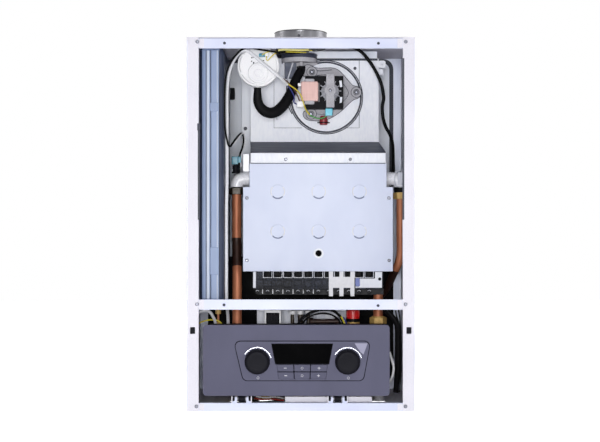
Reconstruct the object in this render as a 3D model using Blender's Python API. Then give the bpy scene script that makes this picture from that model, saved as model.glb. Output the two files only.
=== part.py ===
"""Open wall-hung gas boiler, front cover off, with its burner assembly, fan, hydraulics and controls.

Sizes are millimetres and become metres in the meshes. +X is right, +Z is up and the front faces -Y.
Depths are measured back from the front plane of the case, so the wall is at depth CASE_DEPTH (y = 0).
The origin is the centre of the back panel's rear face.
"""

import math

import bmesh
import bpy
from mathutils import Matrix, Vector

# --- Driving sizes -------------------------------------------------------------------------------

MM = 0.001  # metres in a millimetre
GAP = 0.3  # clearance between pieces that meet
SHEET = 1.0  # sheet steel thickness
ROUND = 20  # sides of a round piece

CASE_HEIGHT = 672.0
CASE_DEPTH = 290.0

POST_WIDTH = 21.5  # front flange of a side panel
POST_LIP = 12.0
LATCH_SLOT_Z = -191.0  # centre of the cover's catch slots
LATCH_SLOT_SIZE = (9.0, 12.0)

RAIL_DEPTH = 17.0
RAIL_OVERLAP = 16.5  # how far a rail reaches behind a post
TOP_RAIL_Z = 324.8
MIDDLE_RAIL_Z = -144.5
RAIL_HEIGHT = 18.2
BOTTOM_RAIL_HEIGHT = 14.6

BACK_SHEET = 1.2
BACK_HEM_WIDTH = 16.7
BACK_HEM_THICKNESS = 5.0
HANG_SLOT_X = 100.0
HANG_SLOT_Z = 298.0
HANG_SLOT_SIZE = (12.0, 18.0)

FLUE_DIAMETER = 100.0
FLUE_HEIGHT = 30.0
FLUE_WALL = 1.5
FLUE_FLANGE_DIAMETER = 124.0
EXHAUST_DIAMETER = 60.0
EXHAUST_REACH = 3.0  # how far the inner pipe reaches below the top panel

CHAMBER_X = 32.0  # centre line of the combustion chamber
CHAMBER_FRONT = 70.0
CHAMBER_BACK = 240.0
CHAMBER_WIDTH = 252.0
CHAMBER_WALL = 6.0
CHAMBER_BOTTOM = -58.0
COVER_WIDTH = 277.0
COVER_TOP = 112.2
COVER_SHOULDER = 68.6
COVER_BOTTOM = -87.4
COVER_RINGS_X = (-74.5, 1.4, 76.7)  # embossed rings, from the centre line
COVER_RINGS_Z = (60.1, -13.6)
COVER_RING_DIAMETER = 26.7
SIGHT_HOLE = (33.1, -54.2)
SIGHT_HOLE_DIAMETER = 13.0

HOOD_PLATE_DEPTH = 150.0
HOOD_PLATE_X = (-96.2, 149.8)
HOOD_FLANGE_X = (-92.9, 157.4)
HOOD_FLANGE_TOP = 133.5
HOOD_SLOPE_TOP = 157.3
HOOD_TOP = 318.0

FAN_AXIS = (55.3, 249.7)  # x and z of the motor shaft
FAN_PLATE_CENTRE = (48.4, 242.7)
FAN_PLATE_DIAMETER = 138.0
FAN_DRUM_DIAMETER = 122.0
FAN_DRUM_LENGTH = 64.0  # behind the hood's plate
FAN_PLATE_THICKNESS = 3.2
FAN_WALL = 1.5
FAN_EYE_DIAMETER = 64.0
FAN_NECK_X = -2.5
FAN_NECK_DIAMETER = 67.0
FAN_NECK_BOTTOM = 308.0
FAN_NECK_TOP = 325.0
FAN_DUCT_X = (-14.0, 26.0)
TAP_X = 1.0
TAP_OFFSET = 22.0  # in front of the neck's centre
TAP_BOTTOM = 300.0
TAP_RADIUS = 3.5

MOTOR_BOLTS = ((21.4, 289.9), (106.0, 251.3), (20.0, 209.7))
MOTOR_BRACKET_STANDOFF = 8.5
MOTOR_BRACKET_THICKNESS = 5.0
MOTOR_BOSS_RADIUS = 9.5
BOSS_SIDES = 10
STATOR_X = (8.0, 80.3)
STATOR_Z = (217.4, 279.0)
STATOR_THICKNESS = 22.0
STATOR_STANDOFF = 8.0
STATOR_LIMB = 12.0
STATOR_WINDOW = (36.3, 230.0, 268.5)  # right edge, bottom and top of the winding window
ROTOR_RADIUS = 16.5
COIL_X = (0.5, 33.0)
COIL_Z = (230.7, 267.8)
COIL_THICKNESS = 39.5
COIL_STANDOFF = 0.5
SHAFT_RADIUS = 3.0
STRAP_WIDTH = 15.1
STRAP_HALF_HEIGHT = 31.0
STRAP_STANDOFF = 17.0  # from the strap's face to the core
COOLING_FAN_RADIUS = 21.0
COOLING_VANES = 12
IMPELLER_RADIUS = 48.0
IMPELLER_VANES = 10

SWITCH_CENTRE = (-78.5, 292.5)
SWITCH_DIAMETER = 77.5
SWITCH_DEPTH = (60.0, 88.0)
SWITCH_SPIGOT_X = -79.8
SWITCH_SPIGOT_BOTTOM = 252.0

THERMOSTAT_CENTRE = (43.6, 197.5)
THERMOSTAT_RADIUS = 7.8
THERMOSTAT_STANDOFF = 9.5

EXCHANGER_Z = 86.0
EXCHANGER_HEIGHT = 46.0
EXCHANGER_FINS = 9
HEADER_DEPTH = 130.0
HEADER_RADIUS = 9.0
FLOW_OFFSET = 27.8  # from the chamber's side to each pipe
RETURN_OFFSET = 31.5
SIDE_CLEARANCE = 2.5  # from the return elbow to the case's side
ELBOW_RADIUS = 13.0
ELBOW_BEND = 13.5
ELBOW_BOTTOM = 70.0

BURNER_FRONT = 85.0
BURNER_BACK = 232.0
BURNER_INSETS = (5.5, 4.4)  # the tray's ends, in from the chamber's sides
BURNER_BOTTOM = -120.6
BLADE_COUNT = 11
BLADE_MARGINS = (26.7, 25.9)  # from each end of the tray to the nearest blade's middle
BLADE_THICKNESS = 9.0
BLADE_TOP = -62.0
BLADE_BOTTOM = -104.0
BLADE_DEPTH = (98.0, 222.0)
WINDOW_SIZE = (13.5, 10.5)
WINDOW_Z = -93.6
VENTURI_Z = -124.0
VENTURI_RADIUS = 7.0
VENTURI_DEPTH = (112.0, 150.0)
MANIFOLD_DEPTH = (90.0, 103.0)
MANIFOLD_Z = (-132.0, -121.5)
NOZZLE_RADIUS = 3.2
NOZZLE_LENGTH = 8.0

ELECTRODE_LEGS_X = (56.2, 75.9, 96.2)
ELECTRODE_LEG_WIDTH = 7.6
ELECTRODE_BAND_Z = (-118.8, -98.4)
ELECTRODE_LEG_Z = (-134.4, -88.2)

VESSEL_WIDTH = 45.0
VESSEL_INSET = 20.0
VESSEL_DEPTH = (30.0, 240.0)
VESSEL_Z = (-145.0, 325.0)

PIPE_RADIUS = 9.0
RETURN_PIPE_RADIUS = 7.5
NUT_FLATS = 26.0
NUT_HEIGHT = 13.5
GAS_X = 146.0
GAS_DEPTH = 110.0
GAS_NUT_FLATS = 28.0
GAS_NUT_TOP = -175.5

RELIEF_X = 98.6
RELIEF_DEPTH = 110.0
RELIEF_CAP_Z = (-178.0, -162.0)
RELIEF_CAP_RADIUS = 12.5

SPIGOT_BOTTOM = -333.0
SPIGOT_RADIUS = 11.0
SPIGOTS_X = (-65.0, -5.0, 60.0)
SPIGOT_SETBACK = 15.0  # how far these stand behind the gas pipe
PLATE_HOLE_MARGIN = 4.0
BLOCK_Z = (-322.0, -292.0)
BLOCK_ENDS = (18.0, 13.4)  # past the flow riser and past the relief valve
BLOCK_DEPTH = 50.0
BLOCK_INSET = 10.0  # how far its front stands before the gas pipe's axis
RISER_WALL = 4.0
PUMP_SEAT_HEIGHT = 12.0
PUMP_SEAT_RADIUS = 12.0
PUMP_SEAT_INSET = 14.0
PUMP_CENTRE = (20.0, -236.0)
PUMP_DEPTH = (108.0, 235.0)
PUMP_MOTOR_RADIUS = 41.0
PUMP_VOLUTE_RADIUS = 47.0
PUMP_VOLUTE_LENGTH = 35.0
PUMP_PORT_RADIUS = 12.0
PUMP_OUTLET_WIDTH = 28.0
PUMP_OUTLET_INSETS = (32.0, 4.0)
PUMP_OUTLET_BOTTOM = -305.0

VALVE_WIDTH = 42.0
VALVE_DEPTHS = (-15.0, 45.0)  # before and behind the gas pipe's axis
VALVE_HEIGHTS = (80.0, 12.0)  # below the nut
VALVE_NECK_RADIUS = 13.0
VALVE_NECK_HEIGHT = 20.0
SOLENOID_RADIUS = 18.0
SOLENOID_DEPTHS = (40.0, 80.0)
SOLENOID_DROP = 45.0

PANEL_X = (-176.0, 160.0)
PANEL_Z = (-309.0, -181.4)
PANEL_FRONT = 5.0
PANEL_THICKNESS = 3.0
PANEL_BOX_BACK = 84.0
PANEL_BOX_WALL = 2.0
BEZEL_TOP = (-120.0, 125.0, -211.0)  # left, right and height of its top edge
BEZEL_BOTTOM = (-103.0, 112.0, -281.0)
BEZEL_RISE = 1.5
DISPLAY_TOP = (-52.0, 57.0, -215.8)
DISPLAY_BOTTOM = (-45.0, 50.0, -251.0)
BUTTON_TOP = (-43.0, 48.0, -252.6)
BUTTON_BOTTOM = (-40.0, 45.0, -278.5)
BUTTON_ROWS = 2
BUTTON_COLUMNS = 3
BUTTON_GAP = 1.2
BUTTON_RISE = 1.0
BUTTON_DEPTH = 7.0
KNOB_RADIUS = 23.0
KNOB_HEIGHT = 13.5
SHAFT_LENGTH = 10.0  # behind the fascia's face
HEATING_KNOB = (-78.3, -247.3)
HOT_WATER_KNOB = (84.2, -247.6)

HINGE_DEPTH = 8.0
HINGE_Z = -315.0
HINGES_X = (-106.3, 66.5)
HINGE_WIDTH = 36.6
HINGE_LUG_WIDTH = 10.0
LUG_RADIUS = 4.8
BARREL_RADIUS = 4.0
PIN_RADIUS = 2.0

SLEEVE_RADIUS = 3.0
SENSOR_CABLE_RADIUS = 1.8
RETURN_CABLE_RADIUS = 3.2

# Routes are chosen points along each run: x, depth and z.
SLEEVE_ROUTE = (
    (-136, 104, -232), (-136, 101, -200), (-136, 88, -174), (-136, 62, -152), (-136, 45, -132),
    (-136, 42, -84), (-136, 42, -29), (-136, 42, 26), (-135, 42, 81), (-135, 42, 136),
    (-135, 42, 172), (-135, 42, 209), (-135, 42, 236), (-133, 42, 264), (-130, 42, 282),
    (-122, 44, 301), (-111, 46, 315), (-100, 47, 319), (-89, 49, 312), (-71, 52, 297),
    (-54, 53, 283), (-39, 60, 271), (-26, 85, 260),
)
SENSOR_CABLE_ROUTE = (
    (-38, 45, 314), (-71, 36, 318), (-92, 30, 320), (-105, 26, 318), (-117, 22, 307),
    (-126, 20, 294), (-134, 20, 276), (-137, 20, 257), (-138, 20, 234), (-138, 20, 210),
    (-138, 20, 189), (-137, 22, 171), (-134, 28, 153), (-130, 36, 142), (-125, 46, 148),
    (-119, 60, 158), (-114, 75, 166), (-110, 90, 169), (-108, 100, 164), (-108, 108, 155),
    (-111, 115, 142), (-115, 120, 132), (-117, 127, 120), (-117, 130, 108), (-117, 130, 98),
)
RETURN_CABLE_ROUTE = (
    (90, 90, 331.4), (98, 91, 330.5), (108, 92, 326), (117, 94, 319), (128, 96, 306), (137, 98, 293),
    (146, 100, 276), (152, 102, 261), (155, 104, 246), (156, 106, 235), (154, 108, 224),
    (154, 110, 211), (156, 114, 198), (161, 120, 184), (170, 128, 169), (175, 138, 154),
    (177, 148, 138), (178, 156, 123), (179, 164, 108), (179, 168, 90),
)
PRESSURE_HOSE_ROUTE = (
    (-80, 66, 251.2), (-80, 66, 245), (-80, 67, 237), (-79, 71, 226), (-73, 75, 215), (-62, 82, 208),
    (-49, 90, 209), (-37, 98, 218), (-26, 106, 233), (-17, 112, 251), (-9, 118, 273),
    (-2, 124, 287), (1, 128, 293), (1, 128, 299.2),
)
PRESSURE_HOSE_RADII = (6.3, 10.3, 7.5)  # at the switch, at the bend and at the fan

# Rigid pipes: how far along x from their lower end (0) to their upper end (1), depth and z.
FLOW_PIPE_COURSE = (
    (1, 130, 62), (1, 130, 20), (1, 130, -27), (0.55, 121, -61), (0, 111, -91), (0, 110, -143),
    (0, 110, -185), (0, 110, -229),
)
FLOW_PIPE_SHIFT = 1.8  # how far its lower end stands inwards
RETURN_PIPE_COURSE = (
    (1, 130, 56), (1, 130, 10), (1, 130, -30), (1, 130, -54), (0.988, 131, -70), (0.958, 137, -84),
    (0.925, 149, -98), (0.9, 166, -111), (0.865, 183, -126), (0.8, 198, -141), (0.686, 209, -154),
    (0.519, 216, -164), (0.295, 218, -166), (0.118, 218, -167), (0.035, 218, -170), (0, 218, -178),
    (0, 218, -188),
)

# --- Derived sizes -------------------------------------------------------------------------------

CHAMBER_LEFT = CHAMBER_X - CHAMBER_WIDTH / 2
CHAMBER_RIGHT = CHAMBER_X + CHAMBER_WIDTH / 2
FLOW_X = CHAMBER_LEFT - FLOW_OFFSET
RETURN_X = CHAMBER_RIGHT + RETURN_OFFSET
HALF_WIDTH = RETURN_X + ELBOW_RADIUS + SIDE_CLEARANCE
HALF_HEIGHT = CASE_HEIGHT / 2
VESSEL_X = (VESSEL_INSET - HALF_WIDTH, VESSEL_INSET + VESSEL_WIDTH - HALF_WIDTH)
INNER_X = HALF_WIDTH - SHEET - GAP  # free half width between the side panels
POST_X = HALF_WIDTH - POST_WIDTH  # inner edge of a post
RAIL_FRONT = SHEET + GAP
BACK_FRONT = CASE_DEPTH - BACK_SHEET  # front face of the back panel
COVER_NECK_WIDTH = CHAMBER_WIDTH + 2 * SHEET
SHELL_FRONT = CHAMBER_FRONT + SHEET + GAP
BURNER_X = (CHAMBER_LEFT + BURNER_INSETS[0], CHAMBER_RIGHT - BURNER_INSETS[1])
BLADE_FIRST_X = BURNER_X[0] + BLADE_MARGINS[0]
BLADE_PITCH = (BURNER_X[1] - BLADE_MARGINS[1] - BLADE_FIRST_X) / (BLADE_COUNT - 1)
BURNER_TOP = CHAMBER_BOTTOM - GAP
FLUE_DEPTH = HOOD_PLATE_DEPTH  # the fan's neck stands half in front of the hood's plate
FAN_PLATE_FRONT = HOOD_PLATE_DEPTH - GAP - FAN_PLATE_THICKNESS
FAN_DRUM_BACK = HOOD_PLATE_DEPTH + FAN_DRUM_LENGTH
MOTOR_BRACKET_FRONT = FAN_PLATE_FRONT - MOTOR_BRACKET_STANDOFF
STATOR_BACK = MOTOR_BRACKET_FRONT - STATOR_STANDOFF
STATOR_DEPTH = (STATOR_BACK - STATOR_THICKNESS, STATOR_BACK)
COIL_BACK = MOTOR_BRACKET_FRONT - COIL_STANDOFF
COIL_DEPTH = (COIL_BACK - COIL_THICKNESS, COIL_BACK)
STRAP_FRONT = STATOR_DEPTH[0] - STRAP_STANDOFF
PUMP_SPOT = (PUMP_CENTRE[0], RETURN_PIPE_COURSE[-1][1])  # x and depth of the pump's inlet


def course(points, low_x, high_x):
    """A rigid pipe's route between the x of its lower end and the x of its upper end."""
    return [(low_x + (high_x - low_x) * share, depth, z) for share, depth, z in points]


FLOW_PIPE_ROUTE = course(FLOW_PIPE_COURSE, FLOW_X + FLOW_PIPE_SHIFT, FLOW_X)
RETURN_PIPE_ROUTE = course(RETURN_PIPE_COURSE, PUMP_SPOT[0], RETURN_X)


# --- Shape helpers -------------------------------------------------------------------------------


def place(x, depth, z):
    """A point in metres from a position in millimetres."""
    return Vector((x, depth - CASE_DEPTH, z)) * MM


def solid(bm):
    """A loose object that holds a bmesh, its faces turned outwards."""
    bmesh.ops.recalc_face_normals(bm, faces=bm.faces)
    mesh = bpy.data.meshes.new("shape")
    bm.to_mesh(mesh)
    bm.free()
    shape = bpy.data.objects.new("shape", mesh)
    bpy.context.scene.collection.objects.link(shape)
    return shape


def box(x_range, depth_range, z_range):
    """A block between two x values, two depths and two heights."""
    bm = bmesh.new()
    low = place(x_range[0], depth_range[0], z_range[0])
    high = place(x_range[1], depth_range[1], z_range[1])
    size = Matrix.Diagonal((*(high - low), 1))
    bmesh.ops.create_cube(bm, size=1, matrix=Matrix.Translation((low + high) / 2) @ size)
    return solid(bm)


def rod(axis, centre, span, radius, sides=ROUND, end_radius=None):
    """A cylinder or cone along an axis; centre holds the two other coordinates in x, depth, z order."""
    bm = bmesh.new()
    middle = (span[0] + span[1]) / 2
    position = {
        "X": (middle, centre[0], centre[1]),
        "Y": (centre[0], middle, centre[1]),
        "Z": (centre[0], centre[1], middle),
    }[axis]
    turn = {
        "X": Matrix.Rotation(math.pi / 2, 4, "Y"),
        "Y": Matrix.Rotation(-math.pi / 2, 4, "X"),
        "Z": Matrix.Identity(4),
    }[axis]
    bmesh.ops.create_cone(
        bm,
        cap_ends=True,
        segments=sides,
        radius1=radius * MM,
        radius2=(radius if end_radius is None else end_radius) * MM,
        depth=(span[1] - span[0]) * MM,
        matrix=Matrix.Translation(place(*position)) @ turn,
    )
    return solid(bm)


def hexagon(centre, z_range, flats):
    """A hexagon nut's outline, standing on its face."""
    return rod("Z", centre, z_range, flats / math.sqrt(3), sides=6)


def plate(outline, depth_range):
    """A flat plate: an outline of (x, z) points, thick along the depth."""
    bm = bmesh.new()
    corners = [bm.verts.new(place(x, depth_range[0], z)) for x, z in outline]
    face = bm.faces.new(corners)
    swept = bmesh.ops.extrude_face_region(bm, geom=[face])
    moved = [part for part in swept["geom"] if isinstance(part, bmesh.types.BMVert)]
    bmesh.ops.translate(bm, verts=moved, vec=(0, (depth_range[1] - depth_range[0]) * MM, 0))
    return solid(bm)


def hull(points):
    """The convex solid around points given as x, depth and z."""
    bm = bmesh.new()
    for point in points:
        bm.verts.new(place(*point))
    made = bmesh.ops.convex_hull(bm, input=bm.verts)
    inside = {part for key in ("geom_interior", "geom_unused") for part in made[key]}
    loose = [part for part in inside if isinstance(part, bmesh.types.BMVert)]
    bmesh.ops.delete(bm, geom=loose, context="VERTS")
    bmesh.ops.dissolve_limit(bm, angle_limit=math.radians(0.1), verts=bm.verts, edges=bm.edges)
    return solid(bm)


def loft(levels):
    """A solid through rectangles at rising heights, each given as z, x range and depth range."""
    bm = bmesh.new()
    rings = []
    for z, (left, right), (near, far) in levels:
        corners = ((left, near), (right, near), (right, far), (left, far))
        rings.append([bm.verts.new(place(x, depth, z)) for x, depth in corners])
    for below, above in zip(rings, rings[1:]):
        for index in range(4):
            after = (index + 1) % 4
            bm.faces.new((below[index], below[after], above[after], above[index]))
    bm.faces.new(rings[0])
    bm.faces.new(rings[-1])
    return solid(bm)


def rounded(outline, radius, steps=4):
    """An outline of (x, z) corners with each corner turned into an arc."""
    points = []
    for index, corner in enumerate(outline):
        corner = Vector(corner)
        back = (Vector(outline[index - 1]) - corner).normalized()
        ahead = (Vector(outline[(index + 1) % len(outline)]) - corner).normalized()
        half_angle = back.angle(ahead) / 2
        centre = corner + (back + ahead).normalized() * radius / math.sin(half_angle)
        start = (corner + back * radius / math.tan(half_angle) - centre).normalized()
        end = (corner + ahead * radius / math.tan(half_angle) - centre).normalized()
        for step in range(steps + 1):
            points.append(tuple(centre + start.slerp(end, step / steps) * radius))
    return points


def trapezoid(top, bottom, grow=0.0):
    """Corners of a trapezoid from the (left, right, height) of its top and bottom edges."""
    return (
        (bottom[0] - grow, bottom[2] - grow),
        (bottom[1] + grow, bottom[2] - grow),
        (top[1] + grow, top[2] + grow),
        (top[0] - grow, top[2] + grow),
    )


def smooth_route(route, spacing, radii=None):
    """Points along a smooth curve through the route, spaced evenly, each with its own radius."""
    anchors = [place(*point) for point in route]
    if radii is None:
        radii = [1.0] * len(anchors)
    fine = []
    for index in range(len(anchors) - 1):
        before = anchors[max(index - 1, 0)]
        start, end = anchors[index], anchors[index + 1]
        after = anchors[min(index + 2, len(anchors) - 1)]
        steps = max(int((end - start).length / (0.5 * MM)), 2)
        for step in range(steps):
            t = step / steps
            point = 0.5 * (
                2 * start
                + (end - before) * t
                + (2 * before - 5 * start + 4 * end - after) * t**2
                + (3 * start - before - 3 * end + after) * t**3
            )
            fine.append((point, radii[index] + (radii[index + 1] - radii[index]) * t))
    fine.append((anchors[-1], radii[-1]))
    lengths = [0.0]
    for (first, _), (second, _) in zip(fine, fine[1:]):
        lengths.append(lengths[-1] + (second - first).length)
    count = max(round(lengths[-1] / (spacing * MM)), 3)
    points = []
    cursor = 0
    for step in range(count + 1):
        target = lengths[-1] * step / count
        while cursor < len(lengths) - 1 and lengths[cursor] < target - 1e-9:
            cursor += 1
        points.append(fine[cursor])
    return points


def tube(name, route, radius, spacing=None, radii=None, resolution=2):
    """A round tube along a route, with filled ends."""
    data = bpy.data.curves.new(name, "CURVE")
    data.dimensions = "3D"
    data.bevel_depth = radius * MM
    data.bevel_resolution = resolution
    data.use_fill_caps = True
    points = smooth_route(route, spacing or radius * 5, radii)
    spline = data.splines.new("POLY")
    spline.points.add(len(points) - 1)
    for target, (position, thickness) in zip(spline.points, points):
        target.co = (*position, 1)
        target.radius = thickness
    curve = bpy.data.objects.new(name, data)
    bpy.context.scene.collection.objects.link(curve)
    return curve


def pipe(route, radius, spacing=None):
    """A rigid round pipe along a route, as a closed mesh."""
    curve = tube("pipe", route, radius, spacing=spacing or radius * 2, resolution=3)
    graph = bpy.context.evaluated_depsgraph_get()
    mesh = bpy.data.meshes.new_from_object(curve.evaluated_get(graph))
    bpy.data.objects.remove(curve)
    bm = bmesh.new()
    bm.from_mesh(mesh)
    bmesh.ops.remove_doubles(bm, verts=bm.verts, dist=0.001 * MM)
    bpy.data.meshes.remove(mesh)
    return solid(bm)


def below_end(end, radius):
    """A block under a pipe's end, which cuts the end square."""
    x, depth, z = end
    reach = 2 * radius
    return box((x - reach, x + reach), (depth - reach, depth + reach), (z - reach, z))


def finish(shape, name, look, origin=None):
    """Names a shape, gives it its material and puts its origin where it turns or slides."""
    colour, roughness, metallic = look
    material = bpy.data.materials.new(name)
    material.use_nodes = True
    shader = material.node_tree.nodes["Principled BSDF"]
    rgb = [int(colour[i : i + 2], 16) / 255 for i in (0, 2, 4)]
    linear = [c / 12.92 if c <= 0.04045 else ((c + 0.055) / 1.055) ** 2.4 for c in rgb]
    shader.inputs["Base Color"].default_value = (*linear, 1)
    shader.inputs["Roughness"].default_value = roughness
    shader.inputs["Metallic"].default_value = metallic
    shape.name = name
    shape.data.name = name
    shape.data.materials.clear()
    shape.data.materials.append(material)
    if origin is not None:
        shape.data.transform(Matrix.Translation(-origin))
        shape.location = origin
    return shape


def build(name, look, solids, cuts=(), origin=None):
    """One closed piece: the solids united, the cuts taken away."""
    base = solids[0]
    others = [(other, "UNION") for other in solids[1:]] + [(cut, "DIFFERENCE") for cut in cuts]
    for other, operation in others:
        modifier = base.modifiers.new(operation, "BOOLEAN")
        modifier.operation = operation
        modifier.object = other
    if others:
        bpy.context.view_layer.update()
        graph = bpy.context.evaluated_depsgraph_get()
        mesh = bpy.data.meshes.new_from_object(base.evaluated_get(graph))
        base.modifiers.clear()
        base.data = mesh
        for other, _ in others:
            bpy.data.objects.remove(other)
    piece = finish(base, name, look, origin)
    piece.data.shade_smooth()
    piece.data.set_sharp_from_angle(angle=math.radians(35))
    return piece


def grow(span, by):
    """A range made larger at both ends."""
    return (span[0] - by, span[1] + by)


# --- Looks: colour, roughness, metallic ----------------------------------------------------------

WHITE_PAINT = ("E2E0EA", 0.45, 0.0)
ZINC = ("C4C9E0", 0.4, 0.8)
BRIGHT_STEEL = ("D2D8EA", 0.35, 0.8)
DARK_STEEL = ("4A5063", 0.5, 0.6)
CAST_ALUMINIUM = ("B9BAC2", 0.45, 0.8)
LAMINATION = ("17171B", 0.5, 0.4)
COIL_TAPE = ("DDB5B0", 0.6, 0.0)
COPPER = ("C07A5E", 0.3, 1.0)
BRASS = ("C9A860", 0.3, 1.0)
VESSEL_PAINT = ("8E9DBD", 0.4, 0.0)
SWITCH_PLASTIC = ("E8E8EA", 0.4, 0.0)
BLACK_RUBBER = ("16161A", 0.5, 0.0)
WHITE_SLEEVE = ("DCDDE2", 0.5, 0.0)
GREY_FASCIA = ("6B6B7E", 0.45, 0.0)
BLACK_PLASTIC = ("20202A", 0.4, 0.0)
RED_PLASTIC = ("B01010", 0.35, 0.0)
DISPLAY_BLACK = ("050507", 0.1, 0.0)
BUTTON_GREY = ("74748A", 0.45, 0.0)


# --- Case ----------------------------------------------------------------------------------------


def around(centre, size):
    """The range of a size around a centre."""
    return (centre - size / 2, centre + size / 2)


def back_panel():
    """The wall plate, with a raised hem round it and two slots to hang it by."""
    width = (-INNER_X, INNER_X)
    height = (-HALF_HEIGHT, HALF_HEIGHT)
    hem_front = BACK_FRONT - BACK_HEM_THICKNESS
    sheet = box(width, (BACK_FRONT, CASE_DEPTH), height)
    hem = box(width, (hem_front, BACK_FRONT + SHEET / 2), grow(height, -SHEET - GAP))
    window = box(
        grow(width, -BACK_HEM_WIDTH), (hem_front - SHEET, BACK_FRONT), grow(height, -BACK_HEM_WIDTH)
    )
    slots = [
        box(
            around(side * HANG_SLOT_X, HANG_SLOT_SIZE[0]),
            (hem_front, CASE_DEPTH + SHEET),
            around(HANG_SLOT_Z, HANG_SLOT_SIZE[1]),
        )
        for side in (-1, 1)
    ]
    build("back_panel", ZINC, [sheet, hem], [window, *slots])


def side_panel(name, side):
    """One side sheet with the front post folded from it; side is -1 on the left and 1 on the right."""

    def across(inner, outer):
        return tuple(sorted((side * inner, side * outer)))

    height = (-HALF_HEIGHT, HALF_HEIGHT)
    sheet = box(across(HALF_WIDTH - SHEET, HALF_WIDTH), (0, CASE_DEPTH), height)
    post = box(across(POST_X, HALF_WIDTH - SHEET / 2), (0, SHEET), height)
    lip_height = grow(height, -SHEET - GAP)
    lip = box(across(POST_X, POST_X + SHEET), (SHEET / 2, POST_LIP), lip_height)
    slot = box(
        across(*around(POST_X + POST_WIDTH / 2, LATCH_SLOT_SIZE[0])),
        (-SHEET, 2 * SHEET),
        around(LATCH_SLOT_Z, LATCH_SLOT_SIZE[1]),
    )
    notches = [
        box(
            across(POST_X - SHEET, POST_X + 2 * SHEET),
            (SHEET, POST_LIP + SHEET),
            grow(around(centre, size), 2 * GAP),
        )
        for centre, size in (
            (TOP_RAIL_Z, RAIL_HEIGHT),
            (MIDDLE_RAIL_Z, RAIL_HEIGHT),
            (BOTTOM_RAIL_HEIGHT / 2 - HALF_HEIGHT, BOTTOM_RAIL_HEIGHT),
        )
    ]
    build(name, WHITE_PAINT, [sheet, post, lip], [slot, *notches])


def top_panel():
    """The top sheet, with the hole that the flue collar stands over."""
    top = (HALF_HEIGHT - SHEET, HALF_HEIGHT)
    sheet = box((-INNER_X, INNER_X), (SHEET + GAP, BACK_FRONT - GAP), top)
    hole = rod("Z", (0, FLUE_DEPTH), grow(top, SHEET), FLUE_DIAMETER / 2 - FLUE_WALL)
    build("top_panel", WHITE_PAINT, [sheet], [hole])


def connections():
    """Where each water and gas connection comes down: x and depth."""
    return (
        FLOW_PIPE_ROUTE[-1][:2],
        *((x, GAS_DEPTH + SPIGOT_SETBACK) for x in SPIGOTS_X),
        (GAS_X, GAS_DEPTH),
    )


def bottom_plate():
    """The floor sheet, with a hole under each connection."""
    floor = (-HALF_HEIGHT, SHEET - HALF_HEIGHT)
    sheet = box((-INNER_X, INNER_X), (2 * SHEET + 2 * GAP, BACK_FRONT - GAP), floor)
    holes = [
        rod("Z", spot, grow(floor, SHEET), SPIGOT_RADIUS + PLATE_HOLE_MARGIN, 16)
        for spot in connections()
    ]
    build("bottom_plate", WHITE_PAINT, [sheet], holes)


def rail_shapes(z_range, return_at_top):
    """A folded rail: its front strip, which reaches behind the posts, and its return."""
    front = (RAIL_FRONT, RAIL_FRONT + SHEET)
    strip = box((-POST_X - RAIL_OVERLAP, POST_X + RAIL_OVERLAP), front, z_range)
    edge = (z_range[1] - SHEET, z_range[1]) if return_at_top else (z_range[0], z_range[0] + SHEET)
    fold = box(
        (-POST_X + 2 * SHEET, POST_X - 2 * SHEET), (RAIL_FRONT + SHEET / 2, RAIL_DEPTH), edge
    )
    return strip, fold


def rails():
    """The three cross rails; the bottom one carries the lugs of the panel's hinges."""
    for name, centre in (("top_rail", TOP_RAIL_Z), ("middle_rail", MIDDLE_RAIL_Z)):
        build(name, ZINC, rail_shapes(around(centre, RAIL_HEIGHT), centre > 0))
    top = BOTTOM_RAIL_HEIGHT - HALF_HEIGHT
    lugs = []
    for centre in HINGES_X:
        for side in (-1, 1):
            middle = centre + side * (HINGE_WIDTH - HINGE_LUG_WIDTH) / 2
            across = around(middle, HINGE_LUG_WIDTH)
            lugs.append(rod("X", (HINGE_DEPTH, HINGE_Z), across, LUG_RADIUS, 12))
            leg = (top - SHEET / 2, HINGE_Z)
            lugs.append(box(across, grow((HINGE_DEPTH, HINGE_DEPTH), LUG_RADIUS - GAP), leg))
    bores = [
        rod("X", (HINGE_DEPTH, HINGE_Z), around(centre, HINGE_WIDTH + 2), PIN_RADIUS + GAP, 12)
        for centre in HINGES_X
    ]
    rail = rail_shapes((-HALF_HEIGHT, top), True)
    build("bottom_rail", ZINC, [*rail, *lugs], bores)


def flue_collar():
    """The collar on top: an air pipe round an exhaust pipe, held by three webs."""
    base = HALF_HEIGHT + GAP
    top = HALF_HEIGHT + FLUE_HEIGHT
    low = HALF_HEIGHT - SHEET - EXHAUST_REACH
    centre = (0, FLUE_DEPTH)
    radius = FLUE_DIAMETER / 2
    inner = EXHAUST_DIAMETER / 2
    flange = rod("Z", centre, (base, base + FLUE_WALL), FLUE_FLANGE_DIAMETER / 2, 30)
    outside = rod("Z", centre, (base, top), radius, 30)
    bore = rod("Z", centre, (base - SHEET, top + SHEET), radius - FLUE_WALL, 30)
    ring = build("ring", ZINC, [outside, flange], [bore])
    exhaust = rod("Z", centre, (low, top), inner + FLUE_WALL)
    webs = []
    for turn in range(3):
        angle = math.radians(30 + 120 * turn)
        reach = radius - FLUE_WALL / 2
        web = box((inner, reach), around(CASE_DEPTH, 2 * SHEET), (base + 5, top - 5))
        web.data.transform(Matrix.Rotation(angle, 4, "Z"))
        web.data.transform(Matrix.Translation(place(0, FLUE_DEPTH, 0)))
        webs.append(web)
    passage = rod("Z", centre, (low - SHEET, top + SHEET), inner)
    build("flue_collar", ZINC, [ring, exhaust, *webs], [passage])


# --- Combustion chamber and smoke hood -----------------------------------------------------------


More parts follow.
